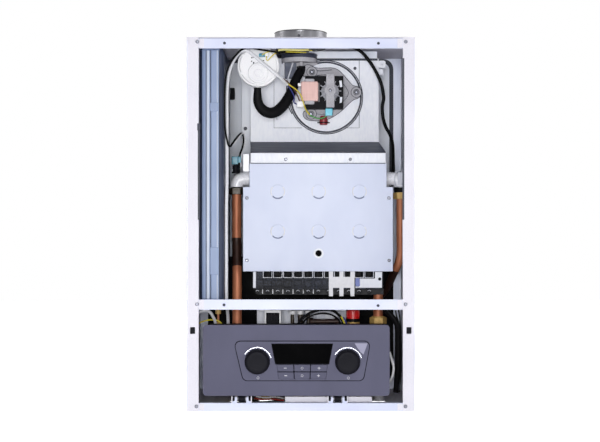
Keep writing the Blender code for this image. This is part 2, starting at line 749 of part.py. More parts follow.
def hood_block(thickness):
    """The hood's outside, or its inside drawn in by a thickness: flange box, slope and fan box."""
    lower_x = grow(HOOD_FLANGE_X, -thickness)
    upper_x = grow(HOOD_PLATE_X, -thickness)
    back = CHAMBER_BACK - thickness
    lower_depth = (CHAMBER_FRONT + thickness, back)
    upper_depth = (HOOD_PLATE_DEPTH + thickness, back)
    bottom = COVER_TOP + GAP - (SHEET if thickness else 0)
    return loft(
        (
            (bottom, lower_x, lower_depth),
            (HOOD_FLANGE_TOP - thickness, lower_x, lower_depth),
            (HOOD_SLOPE_TOP - thickness, upper_x, upper_depth),
            (HOOD_TOP - thickness, upper_x, upper_depth),
        )
    )


def smoke_hood():
    """The hood over the chamber: flange, slope, fan plate and roof, open below."""
    neck_half = FAN_NECK_DIAMETER / 2 + 3 * GAP
    neck_x = (FAN_NECK_X - neck_half, FAN_NECK_X + neck_half)
    notch = box(
        neck_x,
        (HOOD_PLATE_DEPTH - neck_half, FAN_DRUM_BACK + 2 * GAP),
        (FAN_NECK_BOTTOM - 2 * GAP, HOOD_TOP + SHEET),
    )
    opening = rod(
        "Y",
        FAN_PLATE_CENTRE,
        (HOOD_PLATE_DEPTH - 2 * SHEET, HOOD_PLATE_DEPTH + 2 * SHEET),
        FAN_DRUM_DIAMETER / 2 + 3 * GAP,
    )
    build("smoke_hood", ZINC, [hood_block(0)], [hood_block(SHEET), notch, opening])


def chamber_cover():
    """The front cover of the chamber: notched at its top corners, with six rings and a sight hole."""
    half = COVER_WIDTH / 2
    neck = COVER_NECK_WIDTH / 2
    outline = (
        (CHAMBER_X - half, COVER_BOTTOM),
        (CHAMBER_X + half, COVER_BOTTOM),
        (CHAMBER_X + half, COVER_SHOULDER),
        (CHAMBER_X + neck, COVER_SHOULDER),
        (CHAMBER_X + neck, COVER_TOP),
        (CHAMBER_X - neck, COVER_TOP),
        (CHAMBER_X - neck, COVER_SHOULDER),
        (CHAMBER_X - half, COVER_SHOULDER),
    )
    sheet = plate(outline, (CHAMBER_FRONT, CHAMBER_FRONT + SHEET))
    front = (CHAMBER_FRONT - SHEET / 2, CHAMBER_FRONT + SHEET / 2)
    pads = [
        rod("Y", (CHAMBER_X + x, z), front, COVER_RING_DIAMETER / 2)
        for x in COVER_RINGS_X
        for z in COVER_RINGS_Z
    ]
    hole = rod(
        "Y",
        SIGHT_HOLE,
        (CHAMBER_FRONT - SHEET, CHAMBER_FRONT + 2 * SHEET),
        SIGHT_HOLE_DIAMETER / 2,
    )
    build("chamber_cover", BRIGHT_STEEL, [sheet, *pads], [hole])


def chamber_shell():
    """The chamber's insulated back and sides, open in front, above and below."""
    height = (CHAMBER_BOTTOM, COVER_TOP)
    outer = box((CHAMBER_LEFT, CHAMBER_RIGHT), (SHELL_FRONT, CHAMBER_BACK), height)
    inner = box(
        (CHAMBER_LEFT + CHAMBER_WALL, CHAMBER_RIGHT - CHAMBER_WALL),
        (SHELL_FRONT - SHEET, CHAMBER_BACK - CHAMBER_WALL),
        grow(height, SHEET),
    )
    ports = rod(
        "X",
        (HEADER_DEPTH, EXCHANGER_Z),
        (CHAMBER_LEFT - SHEET, CHAMBER_RIGHT + SHEET),
        HEADER_RADIUS + 1,
    )
    brackets = [
        box(
            around(CHAMBER_X + side * CHAMBER_WIDTH / 3, 40),
            (CHAMBER_BACK - CHAMBER_WALL / 2, BACK_FRONT - GAP),
            (COVER_SHOULDER, COVER_SHOULDER + 24),
        )
        for side in (-1, 1)
    ]
    build("chamber_shell", ZINC, [outer, *brackets], [inner, ports])


def heat_exchanger():
    """The finned block at the top of the chamber, with a header stub through each side."""
    left = CHAMBER_LEFT + CHAMBER_WALL + 1
    right = CHAMBER_RIGHT - CHAMBER_WALL - 1
    depths = (SHELL_FRONT + 4, CHAMBER_BACK - CHAMBER_WALL - 2)
    height = around(EXCHANGER_Z, EXCHANGER_HEIGHT)
    core = box((left, right), depths, around(EXCHANGER_Z, EXCHANGER_HEIGHT / 3))
    pitch = (right - left - 2 * SHEET) / (EXCHANGER_FINS - 1)
    fins = [
        box(around(left + SHEET + index * pitch, 2 * SHEET), grow(depths, -1), height)
        for index in range(EXCHANGER_FINS)
    ]
    header = rod(
        "X",
        (HEADER_DEPTH, EXCHANGER_Z),
        (CHAMBER_LEFT - 3, CHAMBER_RIGHT + 3),
        HEADER_RADIUS,
    )
    build("heat_exchanger", COPPER, [core, *fins, header])


def elbow(name, start_x, pipe_x):
    """A bent silver connector from a header stub down to a pipe nut."""
    side = 1 if pipe_x > start_x else -1
    centre = Vector((pipe_x - side * ELBOW_BEND, EXCHANGER_Z - ELBOW_BEND))
    bend = [
        (
            centre.x + side * ELBOW_BEND * math.sin(math.radians(angle)),
            HEADER_DEPTH,
            centre.y + ELBOW_BEND * math.cos(math.radians(angle)),
        )
        for angle in range(0, 91, 15)
    ]
    below = (pipe_x, HEADER_DEPTH, ELBOW_BOTTOM - ELBOW_RADIUS)
    route = [(start_x, HEADER_DEPTH, EXCHANGER_Z), *bend, below]
    end = below_end((pipe_x, HEADER_DEPTH, ELBOW_BOTTOM), ELBOW_RADIUS)
    build(name, CAST_ALUMINIUM, [pipe(route, ELBOW_RADIUS, spacing=4)], [end])


# --- Burner --------------------------------------------------------------------------------------


def blade_x(index):
    """The middle of one burner blade."""
    return BLADE_FIRST_X + index * BLADE_PITCH


def burner_tray():
    """The frame that holds the blades: a front plate with a window per blade, sides, back and ledges."""
    height = (BURNER_BOTTOM, BURNER_TOP)
    outer = box(BURNER_X, (BURNER_FRONT, BURNER_BACK), height)
    inner = box(
        grow(BURNER_X, -SHEET),
        (BURNER_FRONT + SHEET, BURNER_BACK - SHEET),
        (BURNER_BOTTOM - SHEET, BURNER_TOP + SHEET),
    )
    ledges = [
        box(grow(BURNER_X, -SHEET / 2), depths, (BLADE_BOTTOM - GAP - 2 * SHEET, BLADE_BOTTOM - GAP))
        for depths in (
            (BURNER_FRONT + SHEET / 2, BLADE_DEPTH[0] + 6),
            (BLADE_DEPTH[1] - 6, BURNER_BACK - SHEET / 2),
        )
    ]
    windows = [
        box(
            around(blade_x(index), WINDOW_SIZE[0]),
            (BURNER_FRONT - SHEET, BURNER_FRONT + 2 * SHEET),
            around(WINDOW_Z, WINDOW_SIZE[1]),
        )
        for index in range(BLADE_COUNT)
    ]
    frame = build("frame", ZINC, [outer], [inner])
    build("burner_tray", BRIGHT_STEEL, [frame, *ledges], windows)


def burner_blades():
    """Eleven upright flame blades, each with a slotted crown and a mixing tube below."""
    middle = (BLADE_DEPTH[0] + BLADE_DEPTH[1]) / 2
    half = BLADE_THICKNESS / 2
    for index in range(BLADE_COUNT):
        x = blade_x(index)
        crown = hull(
            [
                (x + side * width, depth, z)
                for side in (-1, 1)
                for width, z in ((half, BLADE_BOTTOM), (half, BLADE_TOP - 8), (half - 2, BLADE_TOP))
                for depth in BLADE_DEPTH
            ]
        )
        throat = hull(
            [
                (x + side * (half - 1), depth, z)
                for side in (-1, 1)
                for depth, z in (
                    (VENTURI_DEPTH[0] + 12, VENTURI_Z),
                    (VENTURI_DEPTH[1] + 20, BLADE_BOTTOM + 2),
                    (VENTURI_DEPTH[1], VENTURI_Z),
                    (VENTURI_DEPTH[0] + 12, BLADE_BOTTOM + 2),
                )
            ]
        )
        mixer = rod("Y", (x, VENTURI_Z), VENTURI_DEPTH, VENTURI_RADIUS, 12)
        mouth = rod(
            "Y",
            (x, VENTURI_Z),
            (VENTURI_DEPTH[0] - SHEET, middle - 30),
            VENTURI_RADIUS - 1.5,
            12,
        )
        groove = box((x - 1.2, x + 1.2), grow(BLADE_DEPTH, -5), (BLADE_TOP - 3, BLADE_TOP + SHEET))
        build(f"burner_blade_{index + 1:02d}", BRIGHT_STEEL, [crown, throat, mixer], [mouth, groove])


def gas_manifold():
    """The gas bar under the tray, with a nozzle for each blade and a round plug in front of each."""
    left = blade_x(0) - BLADE_PITCH
    right = GAS_X + PIPE_RADIUS
    bar = box((left, right), MANIFOLD_DEPTH, MANIFOLD_Z)
    inlet = box((GAS_X - PIPE_RADIUS, right), (MANIFOLD_DEPTH[0], GAS_DEPTH + PIPE_RADIUS), MANIFOLD_Z)
    nozzles = []
    for index in range(BLADE_COUNT):
        centre = (blade_x(index), VENTURI_Z - 1.5)
        tip = (MANIFOLD_DEPTH[1] - SHEET, MANIFOLD_DEPTH[1] + NOZZLE_LENGTH)
        nozzles.append(rod("Y", centre, tip, NOZZLE_RADIUS, 8))
        plug = (MANIFOLD_DEPTH[0] - 2 * SHEET, MANIFOLD_DEPTH[0] + SHEET)
        nozzles.append(rod("Y", centre, plug, NOZZLE_RADIUS, 8))
    build("gas_manifold", DARK_STEEL, [bar, inlet, *nozzles])


def electrode_bracket():
    """The white three-legged bracket in front of the burner plate, which carries the electrodes."""
    front = BURNER_FRONT - GAP - 4
    depths = (front, BURNER_FRONT - GAP)
    legs = [
        box(around(x, ELECTRODE_LEG_WIDTH), depths, ELECTRODE_LEG_Z) for x in ELECTRODE_LEGS_X
    ]
    half = ELECTRODE_LEG_WIDTH / 2
    band = box(
        (ELECTRODE_LEGS_X[0] - half + GAP, ELECTRODE_LEGS_X[-1] + half - GAP),
        grow(depths, -GAP),
        ELECTRODE_BAND_Z,
    )
    build("electrode_bracket", SWITCH_PLASTIC, [band, *legs])


# --- Fan and air proving -------------------------------------------------------------------------


def fan_housing():
    """The fan's drum behind a round front plate, with its outlet duct, neck and pressure tap."""
    plate_span = (FAN_PLATE_FRONT, HOOD_PLATE_DEPTH - GAP)
    drum_radius = FAN_DRUM_DIAMETER / 2
    wall = FAN_WALL
    drum_span = (HOOD_PLATE_DEPTH - SHEET, FAN_DRUM_BACK)
    front = rod("Y", FAN_PLATE_CENTRE, plate_span, FAN_PLATE_DIAMETER / 2, 32)
    drum = rod("Y", FAN_PLATE_CENTRE, drum_span, drum_radius, 32)
    duct_top = FAN_NECK_TOP - wall
    duct = box(FAN_DUCT_X, (HOOD_PLATE_DEPTH + 2, FAN_DRUM_BACK), (FAN_PLATE_CENTRE[1], duct_top))
    neck_centre = (FAN_NECK_X, FLUE_DEPTH)
    neck = rod("Z", neck_centre, (FAN_NECK_BOTTOM, FAN_NECK_TOP), FAN_NECK_DIAMETER / 2)
    tap_spot = (TAP_X, FLUE_DEPTH - TAP_OFFSET)
    tap = rod("Z", tap_spot, (TAP_BOTTOM, FAN_NECK_BOTTOM + SHEET), TAP_RADIUS, 12)
    chamber = rod("Y", FAN_PLATE_CENTRE, (drum_span[0] + wall, FAN_DRUM_BACK - wall), drum_radius - wall, 32)
    passage = box(
        grow(FAN_DUCT_X, -wall),
        (HOOD_PLATE_DEPTH + 2 + wall, FAN_DRUM_BACK - wall),
        (FAN_PLATE_CENTRE[1] + 4, duct_top - wall),
    )
    bore = rod(
        "Z", neck_centre, (FAN_NECK_BOTTOM + wall, FAN_NECK_TOP + SHEET), FAN_NECK_DIAMETER / 2 - 2 * SHEET
    )
    eye = rod("Y", FAN_AXIS, (FAN_DRUM_BACK - 2 * wall, FAN_DRUM_BACK + wall), FAN_EYE_DIAMETER / 2)
    shaft_hole = rod("Y", FAN_AXIS, (FAN_PLATE_FRONT - SHEET, drum_span[0] + 2 * wall), SHAFT_RADIUS + 2)
    hollows = [chamber, passage, bore, eye, shaft_hole]
    build("fan_housing", CAST_ALUMINIUM, [front, drum, duct, neck, tap], hollows)


def motor_bracket():
    """The cast three-armed plate that carries the motor on three feet."""
    depths = (MOTOR_BRACKET_FRONT, MOTOR_BRACKET_FRONT + MOTOR_BRACKET_THICKNESS)
    ring = []
    for x, z in MOTOR_BOLTS:
        for step in range(BOSS_SIDES):
            angle = math.tau * step / BOSS_SIDES
            ring.append((x + MOTOR_BOSS_RADIUS * math.cos(angle), z + MOTOR_BOSS_RADIUS * math.sin(angle)))
    web = hull([(x, depth, z) for x, z in ring for depth in depths])
    feet = [
        rod("Y", bolt, (depths[0] - 2 * SHEET, FAN_PLATE_FRONT - GAP), MOTOR_BOSS_RADIUS - 1, 12)
        for bolt in MOTOR_BOLTS
    ]
    inside = (depths[0] - 3, depths[1] + 1)
    bearing = rod("Y", FAN_AXIS, inside, ROTOR_RADIUS, 24)
    upper = plate(((84, 262), (97, 256), (84, 276)), inside)
    lower = plate(((84, 242), (84, 227), (97, 245)), inside)
    build("motor_bracket", CAST_ALUMINIUM, [web, *feet], [bearing, upper, lower])


def motor_stator():
    """The laminated core: a frame whose left limb carries the winding, bored for the rotor."""
    core = box(STATOR_X, STATOR_DEPTH, STATOR_Z)
    through = grow(STATOR_DEPTH, SHEET)
    window = box((STATOR_X[0] + STATOR_LIMB, STATOR_WINDOW[0]), through, STATOR_WINDOW[1:])
    bore = rod("Y", FAN_AXIS, through, ROTOR_RADIUS + 0.7, 32)
    build("motor_stator", LAMINATION, [core], [window, bore])


def motor_coil():
    """The taped winding round the core's left limb."""
    winding = box(COIL_X, COIL_DEPTH, COIL_Z)
    limb = box(
        (STATOR_X[0] - GAP, STATOR_X[0] + STATOR_LIMB + GAP),
        grow(STATOR_DEPTH, GAP),
        grow(COIL_Z, SHEET),
    )
    build("motor_coil", COIL_TAPE, [winding], [limb])


def bearing_strap():
    """The front strap with the shaft's bearing boss, standing on the core by two legs."""
    x, z = FAN_AXIS
    width = around(x, STRAP_WIDTH)
    depths = (STRAP_FRONT, STRAP_FRONT + 2)
    band = box(width, depths, around(z, 2 * STRAP_HALF_HEIGHT))
    legs = [
        box(
            grow(width, -GAP),
            (STRAP_FRONT + SHEET, STATOR_DEPTH[0] - GAP),
            tuple(sorted((z + side * (STRAP_HALF_HEIGHT - GAP), z + side * (COOLING_FAN_RADIUS + 2)))),
        )
        for side in (-1, 1)
    ]
    boss = rod("Y", FAN_AXIS, (STRAP_FRONT - 3, STRAP_FRONT + 3), 10, 24)
    bore = rod("Y", FAN_AXIS, (STRAP_FRONT - 4, STRAP_FRONT + 4), SHAFT_RADIUS + GAP, 16)
    build("bearing_strap", CAST_ALUMINIUM, [band, *legs, boss], [bore])


def fan_rotor():
    """What turns in the fan: shaft, motor rotor, cooling fan and impeller, on the shaft's axis."""
    x, z = FAN_AXIS
    shaft = rod("Y", FAN_AXIS, (STRAP_FRONT - 2, FAN_DRUM_BACK - 8), SHAFT_RADIUS, 16)
    core = rod("Y", FAN_AXIS, grow(STATOR_DEPTH, -0.5), ROTOR_RADIUS, 24)
    hub_span = (STRAP_FRONT + 6, STRAP_FRONT + 13)
    hub = rod("Y", FAN_AXIS, hub_span, COOLING_FAN_RADIUS - 9, 20)
    disc_span = (HOOD_PLATE_DEPTH + 8, HOOD_PLATE_DEPTH + 10)
    disc = rod("Y", FAN_AXIS, disc_span, IMPELLER_RADIUS, 24)
    vanes = []
    for count, inner, outer, span in (
        (COOLING_VANES, 8.0, COOLING_FAN_RADIUS, hub_span),
        (IMPELLER_VANES, 32.0, IMPELLER_RADIUS - 1, (disc_span[0] + 1, FAN_DRUM_BACK - 12)),
    ):
        for index in range(count):
            vane = box((inner, outer), grow(span, -0.5), around(0, 1.6))
            shift = Matrix.Translation(-place(0, 0, 0) + place(x, 0, z))
            turn = Matrix.Rotation(math.tau * index / count, 4, "Y")
            vane.data.transform(shift @ turn)
            vanes.append(vane)
    origin = place(x, STRAP_FRONT, z)
    build("fan_rotor", CAST_ALUMINIUM, [shaft, core, hub, disc, *vanes], origin=origin)


def pressure_switch():
    """The air pressure switch: a white drum with a spigot, on a stand-off from the hood."""
    drum = rod("Y", SWITCH_CENTRE, SWITCH_DEPTH, SWITCH_DIAMETER / 2, 32)
    stand = rod("Y", SWITCH_CENTRE, (SWITCH_DEPTH[1] - 1, HOOD_PLATE_DEPTH - GAP), 10, 20)
    face = rod("Y", (SWITCH_CENTRE[0], 279.0), (SWITCH_DEPTH[0] - 2, SWITCH_DEPTH[0] + 1), 19.5, 28)
    spigot = rod(
        "Z",
        (SWITCH_SPIGOT_X, PRESSURE_HOSE_ROUTE[0][1]),
        (SWITCH_SPIGOT_BOTTOM, SWITCH_CENTRE[1]),
        4.5,
        16,
    )
    build("pressure_switch", SWITCH_PLASTIC, [drum, stand, face, spigot])


def overheat_thermostat():
    """The red thermostat clipped to the fan plate."""
    x, z = THERMOSTAT_CENTRE
    depth = FAN_PLATE_FRONT - THERMOSTAT_STANDOFF
    body = rod(
        "Z", (x, depth), around(z, 17), THERMOSTAT_RADIUS, 20, end_radius=THERMOSTAT_RADIUS - 1.5
    )
    ears = box(around(x, 22), around(depth, 6), (z - 5, z - 3.5))
    foot = box(around(x, 10), (depth + 1, FAN_PLATE_FRONT - GAP), (z - 6, z + 2))
    build("overheat_thermostat", RED_PLASTIC, [body, ears, foot])


# --- Water and gas -------------------------------------------------------------------------------


def expansion_vessel():
    """The flat water expansion vessel on the left, with its rolled seam."""
    body = box(VESSEL_X, VESSEL_DEPTH, VESSEL_Z)
    corners = body.modifiers.new("corners", "BEVEL")
    corners.width = 8 * MM
    corners.segments = 3
    corners.limit_method = "ANGLE"
    finish(body, "expansion_vessel", VESSEL_PAINT)


def pipes():
    """The copper pipes, each with the brass nut that holds it."""
    x, depth, _ = FLOW_PIPE_ROUTE[0]
    nut = hexagon((x, depth), (ELBOW_BOTTOM - GAP - NUT_HEIGHT, ELBOW_BOTTOM - GAP), NUT_FLATS)
    build("flow_pipe", COPPER, [pipe(FLOW_PIPE_ROUTE, PIPE_RADIUS), nut])
    x, depth, _ = RETURN_PIPE_ROUTE[0]
    ring = rod("Z", (x, depth), (ELBOW_BOTTOM - GAP - 10, ELBOW_BOTTOM - GAP), ELBOW_RADIUS - 1)
    nut = hexagon((x, depth), (ELBOW_BOTTOM - 23, ELBOW_BOTTOM - 9.5), NUT_FLATS - 2)
    last = RETURN_PIPE_ROUTE[-1]
    route = (*RETURN_PIPE_ROUTE[:-1], (last[0], last[1], last[2] - RETURN_PIPE_RADIUS))
    bent = pipe(route, RETURN_PIPE_RADIUS)
    build("return_pipe", COPPER, [bent, ring, nut], [below_end(last, RETURN_PIPE_RADIUS)])
    spot = (GAS_X, GAS_DEPTH)
    nut = hexagon(spot, (GAS_NUT_TOP - NUT_HEIGHT, GAS_NUT_TOP), GAS_NUT_FLATS)
    straight = rod("Z", spot, (GAS_NUT_TOP - SHEET, MANIFOLD_Z[0] - GAP), PIPE_RADIUS, 16)
    build("gas_pipe", COPPER, [straight, nut])


def gas_valve():
    """The gas valve under the gas pipe, with its solenoid and inlet spigot."""
    top = GAS_NUT_TOP - NUT_HEIGHT - GAP
    spot = (GAS_X, GAS_DEPTH)
    low, high = (top - drop for drop in VALVE_HEIGHTS)
    neck = rod("Z", spot, (top - VALVE_NECK_HEIGHT, top), VALVE_NECK_RADIUS)
    depths = tuple(GAS_DEPTH + reach for reach in VALVE_DEPTHS)
    body = box(around(GAS_X, VALVE_WIDTH), depths, (low, high))
    solenoid_span = tuple(GAS_DEPTH + reach for reach in SOLENOID_DEPTHS)
    solenoid = rod("Y", (GAS_X, top - SOLENOID_DROP), solenoid_span, SOLENOID_RADIUS)
    spigot = rod("Z", spot, (SPIGOT_BOTTOM, low + SPIGOT_RADIUS), SPIGOT_RADIUS)
    build("gas_valve", CAST_ALUMINIUM, [body, neck, solenoid, spigot])


def hydraulic_block():
    """The brass water block along the bottom, with its risers, spigots and safety valve body."""
    front = GAS_DEPTH - BLOCK_INSET
    depths = (front, front + BLOCK_DEPTH)
    flow_x, flow_depth, flow_z = FLOW_PIPE_ROUTE[-1]
    bar = box((flow_x - BLOCK_ENDS[0], RELIEF_X + BLOCK_ENDS[1]), depths, BLOCK_Z)
    middle = sum(BLOCK_Z) / 2
    relief_top = RELIEF_CAP_Z[0] - GAP
    risers = [
        rod("Z", (flow_x, flow_depth), (middle, flow_z - GAP), PIPE_RADIUS + RISER_WALL),
        rod("Z", (RELIEF_X, RELIEF_DEPTH), (middle, relief_top), RELIEF_CAP_RADIUS - SHEET),
    ]
    seat_spot = (PUMP_CENTRE[0], depths[1] - PUMP_SEAT_INSET)
    seat = rod("Z", seat_spot, (middle, BLOCK_Z[1] + PUMP_SEAT_HEIGHT), PUMP_SEAT_RADIUS)
    spigots = [
        rod("Z", spot, (SPIGOT_BOTTOM, middle), SPIGOT_RADIUS) for spot in connections()[:-1]
    ]
    build("hydraulic_block", BRASS, [bar, *risers, seat, *spigots])


def pump():
    """The circulation pump: motor drum in front of its volute, with an inlet on top."""
    front, back = PUMP_DEPTH
    volute_front = back - PUMP_VOLUTE_LENGTH
    motor = rod("Y", PUMP_CENTRE, (front, volute_front + SHEET), PUMP_MOTOR_RADIUS)
    volute = rod("Y", PUMP_CENTRE, (volute_front, back), PUMP_VOLUTE_RADIUS)
    x, depth, z = RETURN_PIPE_ROUTE[-1]
    inlet = rod("Z", (x, depth), (PUMP_CENTRE[1], z - GAP), PUMP_PORT_RADIUS)
    outlet = box(
        around(x, PUMP_OUTLET_WIDTH),
        tuple(back - inset for inset in PUMP_OUTLET_INSETS),
        (PUMP_OUTLET_BOTTOM, PUMP_CENTRE[1]),
    )
    build("pump", LAMINATION, [motor, volute, inlet, outlet])


def relief_cap():
    """The red cap on the safety valve, which turns to open it."""
    cap = rod("Z", (RELIEF_X, RELIEF_DEPTH), RELIEF_CAP_Z, RELIEF_CAP_RADIUS, 24)
    grips = []
    for index in range(8):
        angle = math.tau * index / 8
        spot = (
            RELIEF_X + RELIEF_CAP_RADIUS * math.cos(angle),
            RELIEF_DEPTH + RELIEF_CAP_RADIUS * math.sin(angle),
        )
        grips.append(rod("Z", spot, grow(RELIEF_CAP_Z, SHEET), 1.4, 8))
    origin = place(RELIEF_X, RELIEF_DEPTH, RELIEF_CAP_Z[0])
    build("relief_cap", RED_PLASTIC, [cap], grips, origin=origin)


# --- Control panel -------------------------------------------------------------------------------


def control_fascia():
    """The panel's front: plate, raised bezel, and openings for knobs, display and buttons."""
    back = PANEL_FRONT + PANEL_THICKNESS
    corners = (
        (PANEL_X[0], PANEL_Z[0]),
        (PANEL_X[1], PANEL_Z[0]),
        (PANEL_X[1], PANEL_Z[1]),
        (PANEL_X[0], PANEL_Z[1]),
    )
    face = plate(rounded(corners, 6), (PANEL_FRONT, back))
    rise = (PANEL_FRONT - BEZEL_RISE, PANEL_FRONT + SHEET)
    bezel = plate(rounded(trapezoid(BEZEL_TOP, BEZEL_BOTTOM), 9), rise)
    through = (PANEL_FRONT - 4, back + SHEET)
    display = plate(trapezoid(DISPLAY_TOP, DISPLAY_BOTTOM, GAP), through)
    keys = plate(trapezoid(BUTTON_TOP, BUTTON_BOTTOM, GAP), through)
    holes = [
        rod("Y", centre, through, SHAFT_RADIUS + GAP, 16) for centre in (HEATING_KNOB, HOT_WATER_KNOB)
    ]
    return build("control_fascia", GREY_FASCIA, [face, bezel], [display, keys, *holes])


def display_window():
    """The black display, flush in the bezel, with a rim behind the fascia."""
    glass = plate(trapezoid(DISPLAY_TOP, DISPLAY_BOTTOM), (PANEL_FRONT - BEZEL_RISE, PANEL_FRONT + 4))
    rim_front = PANEL_FRONT + PANEL_THICKNESS + GAP
    rim_bottom = (*DISPLAY_BOTTOM[:2], DISPLAY_BOTTOM[2] + 0.5)
    rim = plate(trapezoid(DISPLAY_TOP, rim_bottom), (rim_front, rim_front + 4))
    return build("display_window", DISPLAY_BLACK, [glass, rim])


def control_box():
    """The box behind the fascia, open in front, with a knuckle and pin at each hinge."""
    front = PANEL_FRONT + PANEL_THICKNESS + GAP
    width = grow(PANEL_X, -4)
    height = grow(PANEL_Z, -4)
    outer = box(width, (front, PANEL_BOX_BACK), height)
    inner = box(
        grow(width, -PANEL_BOX_WALL),
        (front - SHEET, PANEL_BOX_BACK - PANEL_BOX_WALL),
        grow(height, -PANEL_BOX_WALL),
    )
    knuckle_width = HINGE_WIDTH - 2 * HINGE_LUG_WIDTH - 2 * GAP
    knuckles = []
    for centre in HINGES_X:
        across = around(centre, knuckle_width)
        knuckles.append(rod("X", (HINGE_DEPTH, HINGE_Z), across, BARREL_RADIUS, 12))
        knuckles.append(
            box(
                grow(across, -GAP),
                (front + SHEET / 2, HINGE_DEPTH + BARREL_RADIUS - GAP),
                (HINGE_Z, height[0] + PANEL_BOX_WALL / 2),
            )
        )
        pin = around(centre, HINGE_WIDTH - GAP)
        knuckles.append(rod("X", (HINGE_DEPTH, HINGE_Z), pin, PIN_RADIUS, 12))
    shell = build("shell", BLACK_PLASTIC, [outer], [inner])
    return build("control_box", BLACK_PLASTIC, [shell, *knuckles])


def knob(name, centre):
    """A round knob with its shaft, turning on its own axis."""
    rear = PANEL_FRONT - BEZEL_RISE - GAP
    body = rod("Y", centre, (rear - KNOB_HEIGHT, rear), KNOB_RADIUS, 32)
    shaft = rod("Y", centre, (rear - SHEET, PANEL_FRONT + SHAFT_LENGTH), SHAFT_RADIUS - GAP, 16)
    return build(name, BLACK_PLASTIC, [body, shaft], origin=place(centre[0], rear, centre[1]))


def keypad_edge(share):
    """The left, right and height of a line across the keypad, a share of the way down."""
    return tuple(upper + (lower - upper) * share for upper, lower in zip(BUTTON_TOP, BUTTON_BOTTOM))


def button_edge(share, column, drop):
    """One button's left, right and height along such a line, lowered by a drop."""
    left, right, z = keypad_edge(share)
    pitch = (right - left) / BUTTON_COLUMNS
    half_gap = BUTTON_GAP / 2
    first = left + pitch * column + (half_gap if column else 0)
    last = left + pitch * (column + 1) - (half_gap if column + 1 < BUTTON_COLUMNS else 0)
    return first, last, z - drop


def buttons():
    """Six buttons in two rows of three, filling one trapezoid with even gaps."""
    front = PANEL_FRONT - BEZEL_RISE - BUTTON_RISE
    half_gap = BUTTON_GAP / 2
    made = []
    for row in range(BUTTON_ROWS):
        for column in range(BUTTON_COLUMNS):
            top = button_edge(row / BUTTON_ROWS, column, half_gap if row else 0)
            bottom_drop = -half_gap if row + 1 < BUTTON_ROWS else 0
            bottom = button_edge((row + 1) / BUTTON_ROWS, column, bottom_drop)
            cap = plate(trapezoid(top, bottom), (front, front + BUTTON_DEPTH))
            origin = place((top[0] + top[1]) / 2, front, (top[2] + bottom[2]) / 2)
            number = row * BUTTON_COLUMNS + column + 1
            made.append(build(f"button_{number}", BUTTON_GREY, [cap], origin=origin))
    return made


def control_panel():
    """The folding control panel, carried by an empty on its hinge axis."""
    pieces = [
        control_fascia(),
        display_window(),
        control_box(),
        knob("heating_knob", HEATING_KNOB),
        knob("hot_water_knob", HOT_WATER_KNOB),
        *buttons(),
    ]
    hinge = bpy.data.objects.new("panel_hinge", None)
    hinge.location = place(0, HINGE_DEPTH, HINGE_Z)
    bpy.context.scene.collection.objects.link(hinge)
    for piece in pieces:
        piece.parent = hinge
        piece.matrix_parent_inverse = Matrix.Translation(-hinge.location)


# --- Cords ---------------------------------------------------------------------------------------


def cords():
    """The fan's white sleeve, the two black cables and the moulded pressure hose."""
    looks = (
        ("fan_cable_sleeve", SLEEVE_ROUTE, SLEEVE_RADIUS, WHITE_SLEEVE),
        ("sensor_cable", SENSOR_CABLE_ROUTE, SENSOR_CABLE_RADIUS, BLACK_RUBBER),
        ("return_sensor_cable", RETURN_CABLE_ROUTE, RETURN_CABLE_RADIUS, BLACK_RUBBER),
    )
    for name, route, radius, look in looks:
        finish(tube(name, route, radius, spacing=max(radius * 6, 10)), name, look)
    start, middle, end = PRESSURE_HOSE_RADII
    count = len(PRESSURE_HOSE_ROUTE)
    radii = []
    for index in range(count):
        share = index / (count - 1)
        swell = math.sin(math.pi * share) ** 1.5
        radii.append((start + (end - start) * share) * (1 - swell) + middle * swell)
    hose = tube("pressure_hose", PRESSURE_HOSE_ROUTE, 1, spacing=9, radii=radii, resolution=3)
    finish(hose, "pressure_hose", BLACK_RUBBER)


def main():
    """Clears the scene and builds every piece."""
    for old in list(bpy.data.objects):
        bpy.data.objects.remove(old)
    back_panel()
    side_panel("left_side_panel", -1)
    side_panel("right_side_panel", 1)
    top_panel()
    bottom_plate()
    rails()
    flue_collar()
    smoke_hood()
    chamber_cover()
    chamber_shell()
    heat_exchanger()
    elbow("flow_elbow", CHAMBER_LEFT - 3 - GAP, FLOW_X)
    elbow("return_elbow", CHAMBER_RIGHT + 3 + GAP, RETURN_X)
    burner_tray()
    burner_blades()
    gas_manifold()
    electrode_bracket()
    fan_housing()
    motor_bracket()
    motor_stator()
    motor_coil()
    bearing_strap()
    fan_rotor()
    pressure_switch()
    overheat_thermostat()
    expansion_vessel()
    pipes()
    gas_valve()
    hydraulic_block()
    pump()
    relief_cap()
    control_panel()
    cords()


main()
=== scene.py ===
"""Dresses the open wall-hung gas boiler: finishes for its solids and finer pieces in their places.

Lengths are millimetres until place() turns them into metres. +X is right, +Z is up and the front
faces -Y. Depths are measured back from the front plane of the case.
"""

import math
from collections import namedtuple
from contextlib import contextmanager

import bpy
from mathutils import Matrix, Vector


